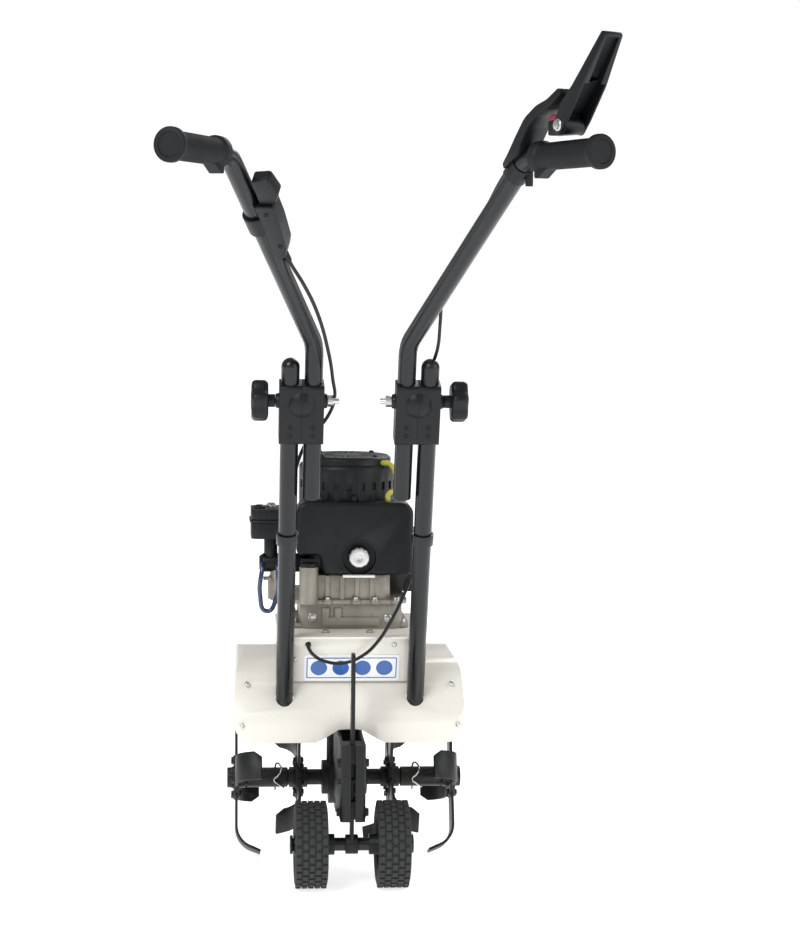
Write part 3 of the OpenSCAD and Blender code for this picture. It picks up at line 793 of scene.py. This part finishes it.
class TILLER_OT_crankcase(Operator):
    """Die-cast crankcase with its flange, ribs, bosses and oil neck, its bolts and its gasket"""

    bl_idname = "tiller.crankcase"
    bl_label = "Crankcase"

    def execute(self, context):
        bolt_xs, back = (-32, 10, 38, 70), -83
        case = [slab(span(-90, 90, -72, 58, 12), SEAT_Z, FOOT_Z, DECK),
                slab(span(-72, 80, -80, 64, 16), SEAT_Z, FLANGE_Z, DECK),
                slab(span(-87, 87, -85, 70, 16), FLANGE_Z, FLANGE_Z + FLANGE_H, DECK),
                slab(span(-68, 62, -78, 66, 14), FLANGE_Z, CASE_TOP_Z, DECK),
                slab(span(-38, 46, -85, -75, (2, 2, 0, 0)), FOOT_Z - 1, FOOT_Z + 11, DECK)]
        neck = [rod(14, FLANGE_Z + 1, CASE_TOP_Z + 14, DECK @ move(*OIL_NECK)),
                slab(span(-68, -52, -86, -62, 0), FLANGE_Z + 1, CASE_TOP_Z, DECK)]
        ribs = [slab(ring(7, 12, 1, x, -76), FLANGE_Z, CASE_TOP_Z, DECK) for x in (-32, -10, 12, 34)]
        posts = [rod(7, FOOT_Z - 1, FLANGE_Z - 6, DECK @ move(x, -79, 0)) for x in (-34, -16)]
        bosses = [rod(8, FLANGE_Z, FLANGE_Z + FLANGE_H, DECK @ move(x, back, 0)) for x in bolt_xs]
        settle("cast_crankcase", case + neck + ribs + posts + bosses, "crankcase_alu", "crankcase", 0.9)
        bolts = [hexagon(DECK @ move(x, back, FLANGE_Z + FLANGE_H), 5, 5) for x in bolt_xs]
        bolts += [hexagon(DECK @ move(s * 80, y, FOOT_Z), 6, 6) for s in (-1, 1) for y in (-58, 44)]
        bolts += [hexagon(DECK @ move(x, -80, z) @ turn(90, "X"), 5, 5) for x, z in ((58, 372), (-54, 374))]
        settle("crankcase_bolts", bolts, "steel_bright", "crankcase", 0.4, extra=True)
        gasket = slab(ring(182, 134, 14, 0, -7), PLATFORM_Z + RUN_GAP, SEAT_Z, DECK)
        settle("engine_gasket", [gasket], "black_plastic", "crankcase", 0.5, extra=True)
        return {"FINISHED"}


class TILLER_OT_tank(Operator):
    """Fuel tank behind the drum, with its cap in a round recess and the ledge under the cap"""

    bl_idname = "tiller.tank"
    bl_label = "Fuel tank"

    def execute(self, context):
        low, step_z = CASE_TOP_Z + 2, CASE_TOP_Z + 31
        recess = DECK @ move(*CAP_AT) @ XZ
        shell = slab([(-78, step_z, 8), (-45, step_z, 6), (-38, low, 8), (94, low, 8), (94, COVER_TOP_Z, 18),
                      (-78, COVER_TOP_Z, 15)], TANK_BACK, -40, DECK @ XZ)
        soften(shell, 9, 5, 50)
        carve(shell, [rod(DRUM_R + 0.4, low - 20, COVER_TOP_Z + 30, DECK, 72),
                      rod(25, TANK_BACK - 5, TANK_BACK + 11, recess)])
        lip = lathe([(25.5, TANK_BACK - 0.4, 0), (28, TANK_BACK - 0.4, 0.8), (28, TANK_BACK + 4, 0),
                     (25.5, TANK_BACK + 4, 0)], recess)
        studs = [rod(5, COVER_TOP_Z - 1, COVER_TOP_Z + 8, DECK @ move(x, -76, 0)) for x in (-44, 6)]
        settle("fuel_tank", [shell, lip] + studs, "black_plastic", "engine_cover", 0.5)

        turned = DECK @ move(CAP_AT[0], TANK_BACK + 11, CAP_AT[2]) @ turn(90, "X")
        radius, height = 15.5, 15.5
        grooves = [slab(ring(2.2, 3, 0, 15.6 * math.cos(t), 15.6 * math.sin(t)), 2, 20, turned)
                   for t in (k * math.pi / 6 for k in range(12))]
        cap = lathe([(0, 0, 0), (12, 0, 0), (12, 3, 0), (radius, 3, 0.5), (radius, height - 2.5, 2),
                     (13, height, 0), (5, height, 0), (4, height - 1, 0), (0, height - 1, 0)], turned, 48)
        settle("tank_cap", [carve(cap, grooves)], "steel_bright", "cover_cap", 0.3)
        ledge = slab(span(-10, 38, 434.5, 439, 1), TANK_BACK - 2, TANK_BACK + 12, DECK @ XZ)
        settle("cap_ledge", [ledge], "steel_bright", "crankcase", 0.4, extra=True)
        return {"FINISHED"}


class TILLER_OT_drum(Operator):
    """Slotted starter drum with its screws, and the starter's handle"""

    bl_idname = "tiller.drum"
    bl_label = "Starter drum"

    def execute(self, context):
        base, top, neck = CASE_TOP_Z + RUN_GAP, DRUM_TOP_Z, DRUM_R - 6
        drum = lathe([(0, base, 0), (DRUM_R, base, 0), (DRUM_R, top - 17, 1), (DRUM_R - 2, top - 13, 0),
                      (neck, top - 12, 0), (neck, top - 4, 2), (neck - 4, top, 2), (0, top, 0)], DECK, 96)
        slots = context.scene.tiller_sizes.drum_slots
        spins = [DECK @ turn(k * 360 / slots, "Z") for k in range(slots)]
        cuts = [slab(ring(22, 3, 1.4, 33, 0), top - 3, top + 1, spin) for spin in spins]
        cuts += [slab(ring(8, 12, 1.5, 0, top - 42), DRUM_R - 3, DRUM_R + 5, spin @ YZ) for spin in spins]
        carve(drum, [merge(cuts)])
        screws = [screw(DECK @ turn(k * 90 + 45, "Z") @ move(56, 0, top), 4, 3) for k in range(4)]
        settle("starter_drum", [drum] + screws, "black_plastic", "fan_housing", 0.4)
        handle = slab([(0, -22, 4), (13, -20, 6), (13, 20, 6), (0, 22, 4)], top - 34, top - 20,
                      DECK @ turn(125, "Z") @ move(DRUM_R + RUN_GAP, 0, 0))
        settle("starter_handle", [handle], "black_plastic", "starter_grip", 2)
        return {"FINISHED"}


class TILLER_OT_cylinder(Operator):
    """Finned cylinder with its head and foot, and the spark plug's cap"""

    bl_idname = "tiller.cylinder"
    bl_label = "Cylinder"

    def execute(self, context):
        place = DECK @ move(0, 0, CASE_TOP_Z + 10) @ XZ
        amount = context.scene.tiller_sizes.fins
        first, last, head_y = 77, 119, 122
        ys = [first + k * (last - first) / (amount - 1) for k in range(amount)]
        fins = [slab(ring(96, 90, 12), y, y + 2.6, place) for y in ys]
        barrel = rod(34, DRUM_R + 0.4, head_y + 2, place)
        head = slab(ring(80, 76, 12), head_y, head_y + 24, place)
        foot = slab(ring(60, 22, 3, 0, -23), 66.5, 80, place)
        settle("finned_cylinder", fins + [barrel, head, foot], "crankcase_alu", "cylinder", 0.5)
        cap = rod(8, head_y + 2, head_y + 24.5, place @ move(26, 20, 0))
        settle("spark_plug_cap", [cap], "black_plastic", "cylinder", 1, extra=True)
        return {"FINISHED"}


class TILLER_OT_intake(Operator):
    """Carburettor with its float bowl, air cleaner with its wing nut, and the oil cap"""

    bl_idname = "tiller.intake"
    bl_label = "Intake"

    def execute(self, context):
        throat = lathe([(0, -132, 0), (10, -132, 1), (14, -126, 1), (14, -66, 0), (0, -66, 0)],
                       DECK @ move(0, INTAKE_Y, INTAKE_Z) @ turn(90, "Y"))
        collar = rod(10, 0, 39, DECK @ move(INTAKE_X, INTAKE_Y, INTAKE_Z))
        settle("intake_body", [throat, collar], "black_plastic", "carburettor", 0.5)
        bowl = lathe([(0, -62, 0), (5, -62, 1), (5, -58, 0), (13, -54, 2), (13, -22, 1), (10, -18, 0),
                      (10, -8, 0), (0, -8, 0)], DECK @ move(INTAKE_X + 9, INTAKE_Y, INTAKE_Z))
        arm = slab(ring(12, 4, 1, INTAKE_X - 5, INTAKE_Z - 22), -58, -46, DECK @ XZ)
        settle("float_bowl", [bowl, arm], "crankcase_alu", "carburettor", 0.5, extra=True)

        base, top, middle = INTAKE_Z + 39, INTAKE_Z + 83, (INTAKE_X - 4.5, INTAKE_Y)
        box = [slab(ring(51, 66, 10, *middle), base, base + 24, DECK),
               slab(ring(55, 70, 12, *middle), base + 24, base + 28, DECK),
               slab(ring(51, 66, 10, *middle), base + 28, top, DECK)]
        knob = lathe([(0, 0, 0), (9, 0, 0), (9, 2, 0), (5, 5, 1), (0, 5, 0)],
                     DECK @ move(INTAKE_X - 17, INTAKE_Y - 10, top), 24)
        settle("air_cleaner_box", box + [knob], "black_plastic", "air_cleaner", 2)
        screwed = DECK @ move(INTAKE_X, INTAKE_Y, top - 1)
        wing = slab([(-8, 0, 1), (8, 0, 1), (6, 8, 3), (-6, 8, 3)], -1.2, 1.2, screwed @ XZ)
        settle("air_cleaner_wing_nut", [wing, rod(4, -1, 4, screwed)], "steel_bright", "air_cleaner", 0.4,
               extra=True)

        neck_z = CASE_TOP_Z + 14
        cap = [rod(13, neck_z + RUN_GAP, neck_z + 6, DECK @ move(*OIL_NECK)),
               slab(ring(24, 6, 2, *OIL_NECK[:2]), neck_z + 5, neck_z + 12, DECK)]
        settle("oil_cap", cap, "black_plastic", "oil_filler", 0.8)
        return {"FINISHED"}


class TILLER_OT_muffler(Operator):
    """Muffler can with its slots, outlet, seam and port"""

    bl_idname = "tiller.muffler"
    bl_label = "Muffler"

    def execute(self, context):
        back, front, left, right = -25, 65, 78, 116
        can = slab(span(left, right, 404, 494, (10, 14, 16, 16)), back, front, DECK @ XZ)
        slots = [slab(span(88, 106, z, z + 5, 1), back - 5, back + 3, DECK @ XZ) for z in range(420, 480, 14)]
        outlet = rod(7, right - 6, right + 9, DECK @ move(0, 40, 448) @ turn(90, "Y"))
        carve(can, [merge(slots), outlet])
        port = slab(span(left - 16, left + 6, 406, 431, 3), -30, 40, DECK @ XZ)
        seam = slab(span(left - 1, right + 1, 447, 451, 2), back - 1, front + 1, DECK @ XZ)
        settle("muffler_can", [can, port, seam], "muffler_steel", "muffler", 1)
        return {"FINISHED"}


class TILLER_OT_fender(Operator):
    """Fender halves with their screws, and the handlebar's feet where they enter them"""

    bl_idname = "tiller.fender"
    bl_label = "Fender"

    def form(self, flip, inset):
        """Half of the fender, drawn from the side, from behind and from above, or the hollow inside it."""
        hollow = inset > 0
        hem, notch, corner = (HEM_Z - 50, HEM_Z - 50, 0) if hollow else (HEM_Z, HEM_Z + 17, 28)
        start = -1 if hollow else RUN_GAP / 2
        back, front = FENDER_BACK - inset, FENDER_FRONT - inset
        half, top = FENDER_HALF - inset, FENDER_TOP_Z - inset
        side = [(-back, 140, 0), (front, 140, 0), (front, 240 - inset, 30), (100, top - 12, 60),
                (0, top, 200), (-97, top - 8, 60), (-back, 231, 20)]
        behind = [(-half, hem, corner), (-50, hem, 0), (-17, notch, 0), (17, notch, 0), (50, hem, 0),
                  (half, hem, corner), (half, 231, 0), (half - 5, top + 0.5, 22), (-half + 5, top + 0.5, 22),
                  (-half, 231, 0)]
        above = [(-half, -back, 24), (-38, -back, 16), (-8, -back + 13, 16), (8, -back + 13, 16),
                 (38, -back, 16), (half, -back, 24), (half, front, 24), (-half, front, 24)]
        solid = slab(side, start, half, flip @ DECK @ YZ)
        return carve(solid, [slab(behind, -back - 2, front + 2, DECK @ XZ), slab(above, 130, 340, DECK)],
                     "INTERSECT")

    def half(self, side, flip, sheet):
        foot = flip @ LEANING @ move(LOWER_X, 0, 0)
        skin = self.form(flip, 0)
        front_hem = slab(span(-1, 200, 90, 200, 0), 120, 222, flip @ DECK)
        carve(skin, [self.form(flip, sheet), rod(TUBE_R + 0.5, -520, -400, foot),
                     rod(36, 250, 340, DECK), front_hem])
        settle(f"fender_skin_{side}", [skin], "cream_paint", f"fender_{side}", 0.6)
        screws = [screw(flip @ DECK @ move(158, -FENDER_BACK + 0.2, 226) @ turn(90, "X"), 3.6, 2),
                  screw(flip @ DECK @ move(150, -121, 282) @ turn(52, "X"), 3.6, 2)]
        settle(f"fender_screws_{side}", screws, "steel_bright", f"fender_{side}", extra=True)
        settle(f"tube_foot_{side}", [rod(TUBE_R, -505, -469.4, foot)], "black_paint", f"handle_lower_{side}",
               extra=True)

    def execute(self, context):
        for side, flip in SIDES:
            self.half(side, flip, millimetres(context.scene.tiller_sizes.sheet))
        return {"FINISHED"}


class TILLER_OT_platform(Operator):
    """Folded engine platform with its bolts, and the blank label with its plain discs"""

    bl_idname = "tiller.platform"
    bl_label = "Platform"

    def execute(self, context):
        upright = LEANING @ XZ
        wall = slab(span(-SKIRT_X, SKIRT_X, -449, -378.3, 3), 13, 15.5, upright)
        deck = slab(ring(2 * SKIRT_X, 218, 3, 0, -41), PLATFORM_Z + 3.5, SEAT_Z, DECK)
        skirts = [slab([(-129, 312, 0), (68, 317, 0), (68, PLATFORM_Z + 5, 0), (-143, PLATFORM_Z + 5, 0)],
                       s * SKIRT_X - 1.2, s * SKIRT_X + 1.2, DECK @ YZ) for s in (-1, 1)]
        cable_hole = rod(4.5, -170, -100, DECK @ move(-62, 0, 343) @ XZ)
        settle("platform_sheet", [carve(wall, [cable_hole]), deck] + skirts, "cream_paint",
               "engine_platform", 0.8)

        plate = slab(span(-68, 72, -447, -405, 3), 11.7, 12.9, upright)
        settle("blank_label", [plate], "label_white", "label_plate", 0.2)
        border = slab(span(-64, 68, -443, -409, 2), 11.4, 11.9, upright)
        carve(border, [slab(span(-62.6, 66.6, -441.6, -410.4, 1), 11, 12.2, upright)])
        discs = [rod(12, 11.3, 11.9, LEANING @ move(x, 0, -426) @ XZ, 48) for x in (-46, -14, 18, 50)]
        settle("label_print", [border] + discs, "label_blue", "label_plate", extra=True)

        bolts = [hexagon(DECK @ move(x, -112, SEAT_Z), 5, 4) for x in (-36, 30)]
        bolts += [screw(LEANING @ move(x, 13, z) @ turn(90, "X"), 4, 2) for x, z in ((63, -388), (-80, -412))]
        settle("platform_bolts", bolts, "steel_bright", "engine_platform", 0.3, extra=True)
        return {"FINISHED"}


class TILLER_OT_rotors(Operator):
    """Four rotors, each with four bent blades on a bolted hub plate"""

    bl_idname = "tiller.rotors"
    bl_label = "Rotors"

    def blade(self, place, toward, half, thick):
        """One blade from the hub down, bent over to one side, with a corner of its tip cut off."""
        low, bend, tip, straight = -75.8, 34, 40, 15
        arcs = []
        for radius in (bend + thick / 2, bend - thick / 2):
            arcs.append([(bend - radius * math.cos(k * math.radians(10)),
                          low - radius * math.sin(k * math.radians(10)), 0) for k in range(8)])
        outer, inner = arcs
        run = (straight * math.sin(math.radians(70)), -straight * math.cos(math.radians(70)))
        ends = [(u + run[0], v + run[1], 0) for u, v, radius in (outer[-1], inner[-1])]
        swing = place @ Matrix.Scale(toward, 4, (1, 0, 0))
        strip = slab([(thick / 2, -18, 0), (-thick / 2, -18, 0)] + outer + ends + inner[::-1],
                     -half - 1, half + 1, swing @ XZ)
        face = slab([(-half, -125, 0), (half, -125, 0), (half, -44, 12), (16, -17, 0), (-16, -17, 0),
                     (-half, -44, 12)], -10, tip + 14, swing @ YZ)
        corner = slab([(tip - 16, -half - 1, 0), (tip + 9, -half - 1, 0), (tip + 9, -half + 18, 0)],
                      -140, -40, swing)
        return carve(carve(strip, [face], "INTERSECT"), [corner])

    def execute(self, context):
        sizes = context.scene.tiller_sizes
        half, thick = millimetres(sizes.blade_width) / 2, millimetres(sizes.blade_thickness)
        for ending, x, phase, ways in ROTORS:
            place = DECK @ move(x, 0, AXLE_Z)
            spins = [place @ turn(phase + 90 * k, "X") for k in range(4)]
            blades = [self.blade(spin, way, half, thick) for spin, way in zip(spins, ways)]
            hub = [sleeve(AXLE_R, 15.5, -14, 14, place @ turn(90, "Y")),
                   sleeve(AXLE_R, 34, -4, 4, place @ turn(90, "Y"))]
            heads = [hexagon(spin @ move(s * 4, y, -26) @ turn(90 * s, "Y"), 4.5, 4)
                     for spin in spins for s in (-1, 1) for y in (-8, 8)]
            settle(f"tine_rotor_{ending}", blades + hub + heads, "tine_steel", f"tines_{ending}", 0.5)
        return {"FINISHED"}


class TILLER_OT_tyres(Operator):
    """Tyres with rows of square tread blocks, every other row half a pitch on"""

    bl_idname = "tiller.tyres"
    bl_label = "Tyres"

    def tyre(self, side, flip, rows, blocks):
        place = flip @ DECK @ move(*WHEEL) @ turn(90, "Y")
        bore, wall, shoulder, tread, half = 42.1, 50, 58, 60, 23.5
        casing = lathe([(bore, -20, 0), (wall, -half, 4), (shoulder, -half, 5), (tread, -17, 3),
                        (tread, 17, 3), (shoulder, half, 5), (wall, half, 4), (bore, 20, 0)], place, 60)
        reach, step = 18.4, 360 / blocks
        pattern = []
        for row in range(rows):
            across = -reach + 2 * reach / (rows - 1) * row
            for k in range(blocks):
                spin = place @ turn(step * (k + row % 2 / 2), "Z")
                pattern.append(slab(ring(7.0, 8.8, 0, across, 0), tread - 1.4, tread + 2.4,
                                    spin @ YZ @ turn(90, "Z")))
        settle(f"block_tyre_{side}", [casing, merge(pattern)], "tyre_rubber", f"tyre_{side}", degrees=25)

    def execute(self, context):
        sizes = context.scene.tiller_sizes
        for side, flip in SIDES:
            self.tyre(side, flip, sizes.tread_rows, sizes.tread_blocks)
        return {"FINISHED"}


class TILLER_OT_axle(Operator):
    """Hairpin clips and sleeves on the tine axle"""

    bl_idname = "tiller.axle"
    bl_label = "Tine axle"

    def execute(self, context):
        bent = [(0, 0, -20), (0, 0, 0), (0, 0, 17), (2, -3, 22), (6, -9, 22), (9, -15, 15),
                (4, -17.4, 6), (-2, -17.6, 0), (5, -17.2, -7), (13, -15, -13)]
        clips = [pipe(bent, 1.5, DECK @ move(x, 0, AXLE_Z), 6) for x in (-105, 105)]
        settle("hairpin_clips", clips, "steel_bright", "axle_clips", degrees=50)
        sleeves = [sleeve(AXLE_R, 15, 86, 148, flip @ DECK @ move(0, 0, AXLE_Z) @ turn(90, "Y"))
                   for _, flip in SIDES]
        settle("axle_sleeves", sleeves, "tine_steel", "tine_axle", 0.3, extra=True)
        return {"FINISHED"}


class TILLER_OT_stake(Operator):
    """Drilled depth stake, and the bracket that guides it"""

    bl_idname = "tiller.stake"
    bl_label = "Depth stake"

    def execute(self, context):
        back, front, top = WHEEL.y - 12.5, WHEEL.y + 12.5, 340
        stake = slab([(back, 72, 2), (WHEEL.y, 50, 3), (front, 72, 2), (front, top, 3), (back, top, 3)],
                     -2.5, 2.5, DECK @ YZ)
        holes = [rod(4, -6, 6, DECK @ move(0, WHEEL.y, z) @ turn(90, "Y"), 20) for z in range(112, 330, 25)]
        carve(stake, holes)
        boss = rod(14, -9, 9, DECK @ move(0, WHEEL.y, WHEEL.z) @ turn(90, "Y"))
        settle("depth_stake_bar", [stake, boss], "cast_case", "depth_stake", 0.4)

        half, wall, low, high = 18, 4, 101, 212
        iron = [(3.3, -226, 0), (half, -226, 5), (half, -20, 0), (half - wall, -20, 0),
                (half - wall, -226 + wall, 1), (3.3, -226 + wall, 0)]
        sides = [slab(iron, low, high, flip @ DECK) for _, flip in SIDES]
        case_room = [rod(41, -40, 40, DECK @ move(0, 0, AXLE_Z) @ turn(90, "Y")), rod(28, 90, 230, DECK)]
        guides = [slab(ring(34, 36, 1, 0, WHEEL.y - 1), z, z + 26, DECK) for z in (103, 184)]
        stake_room = slab(ring(5.8, 26, 0, 0, WHEEL.y), 90, 230, DECK)
        bracket = carve(merge(sides), case_room)
        guide = carve(merge(guides), [stake_room])
        pins = [rod(4, -22, 22, DECK @ move(0, -214, z) @ turn(90, "Y"), 24) for z in (113, 158, 185)]
        heads = [hexagon(DECK @ move(s * half, -214, z) @ turn(90 * s, "Y"), 6, 5) for z in (113, 185)
                 for s in (-1, 1)]
        settle("stake_guide", [bracket, guide] + pins + heads, "cast_case", "stake_bracket", 0.5)
        return {"FINISHED"}


class TILLER_OT_studio(Operator):
    """Camera, pale floor and soft lights"""

    bl_idname = "tiller.studio"
    bl_label = "Studio"

    def camera(self, context, middle):
        studio = context.scene.tiller_studio
        aim = turn(-math.degrees(studio.yaw), "Z") @ turn(90 - math.degrees(studio.pitch), "X") @ \
            turn(math.degrees(studio.roll), "Z")
        deselect()
        bpy.ops.object.camera_add(
            location=middle + Vector((-studio.aside, -studio.behind, studio.height)), rotation=aim.to_euler())
        camera = context.object
        camera.data.lens = studio.lens
        camera.data.sensor_width = 36
        camera.data.clip_end = 100
        context.scene.camera = camera

    def floor(self, middle, strength):
        """A sheet of pale, faintly fibrous paper that glows, so that it stays white."""
        bpy.ops.mesh.primitive_plane_add(size=60, location=middle)
        floor = bpy.context.object
        floor.name = "floor"
        material, tree, shader, place = surface("pale_paper_sweep")
        fibre = noise(tree, place, 2.5, 3.0)
        tree.links.new(mix(tree, fibre, (0.93, 0.93, 0.93, 1), (0.97, 0.97, 0.97, 1)),
                       shader.inputs["Base Color"])
        shader.inputs["Roughness"].default_value = 1.0
        shader.inputs["Specular IOR Level"].default_value = 0.0
        shader.inputs["Emission Color"].default_value = (1, 1, 1, 1)
        shader.inputs["Emission Strength"].default_value = strength
        floor.data.materials.append(material)

    def room(self, context, light, seen):
        """A white room, which lights the tiller less than it shows."""
        world = bpy.data.worlds.new("white_room")
        world.use_nodes = True
        tree = world.node_tree
        tree.nodes.clear()
        looked_at = add(tree, "ShaderNodeLightPath").outputs["Is Camera Ray"]
        strength = remap(tree, looked_at, 0.0, 1.0, light, seen)
        sky = add(tree, "ShaderNodeBackground", {"Color": (1, 1, 1, 1), "Strength": strength})
        add(tree, "ShaderNodeOutputWorld", {"Surface": sky.outputs[0]})
        context.scene.world = world

    def lamp(self, middle, name, spot, size, power):
        """A square soft light that looks at the middle of the tiller."""
        deselect()
        bpy.ops.object.light_add(type="AREA", location=middle + Vector(spot))
        light = bpy.context.object
        light.name = name
        light.data.size = size
        light.data.energy = power
        aim = middle + Vector((0, 0, 0.5)) - light.location
        light.rotation_euler = aim.to_track_quat("-Z", "Y").to_euler()

    def execute(self, context):
        studio = context.scene.tiller_studio
        middle = Vector((0, AXLE.y, 0))
        self.camera(context, middle)
        self.floor(middle, studio.floor_glow)
        self.room(context, studio.room_light, studio.room_seen)
        self.lamp(middle, "key_light", (-1.6, -2.4, 2.6), 1.4, 60)
        self.lamp(middle, "fill_light", (2.4, -1.6, 1.6), 1.8, 25)
        self.lamp(middle, "rim_light", (1.2, 2.2, 2.4), 1.4, 30)
        context.scene.view_settings.view_transform = "Standard"
        return {"FINISHED"}


STEPS = (TILLER_OT_studio, TILLER_OT_finishes, TILLER_OT_solids, TILLER_OT_grips, TILLER_OT_joints,
         TILLER_OT_throttle, TILLER_OT_clutch, TILLER_OT_cables, TILLER_OT_hoses, TILLER_OT_crankcase,
         TILLER_OT_tank, TILLER_OT_drum, TILLER_OT_cylinder, TILLER_OT_intake, TILLER_OT_muffler,
         TILLER_OT_fender, TILLER_OT_platform, TILLER_OT_rotors, TILLER_OT_tyres, TILLER_OT_axle,
         TILLER_OT_stake)


class TILLER_PT_panel(Panel):
    """Buttons for each group of pieces, and the sizes, colours and studio's settings"""

    bl_idname = "TILLER_PT_panel"
    bl_label = "Garden tiller"
    bl_space_type = "VIEW_3D"
    bl_region_type = "UI"
    bl_category = "Tiller"

    def draw(self, context):
        for step in STEPS:
            self.layout.operator(step.bl_idname)
        scene = context.scene
        for group in (scene.tiller_sizes, scene.tiller_colours, scene.tiller_studio):
            for name in type(group).__annotations__:
                self.layout.prop(group, name)


CLASSES = (TillerColours, TillerSizes, TillerStudio, *STEPS, TILLER_PT_panel)


def register():
    for cls in CLASSES:
        bpy.utils.register_class(cls)
    bpy.types.Scene.tiller_colours = PointerProperty(type=TillerColours)
    bpy.types.Scene.tiller_sizes = PointerProperty(type=TillerSizes)
    bpy.types.Scene.tiller_studio = PointerProperty(type=TillerStudio)


def unregister():
    del bpy.types.Scene.tiller_studio
    del bpy.types.Scene.tiller_sizes
    del bpy.types.Scene.tiller_colours
    for cls in reversed(CLASSES):
        bpy.utils.unregister_class(cls)


def main():
    register()
    for step in STEPS:
        group, name = step.bl_idname.split(".")
        getattr(getattr(bpy.ops, group), name)()


if __name__ == "__main__":
    main()
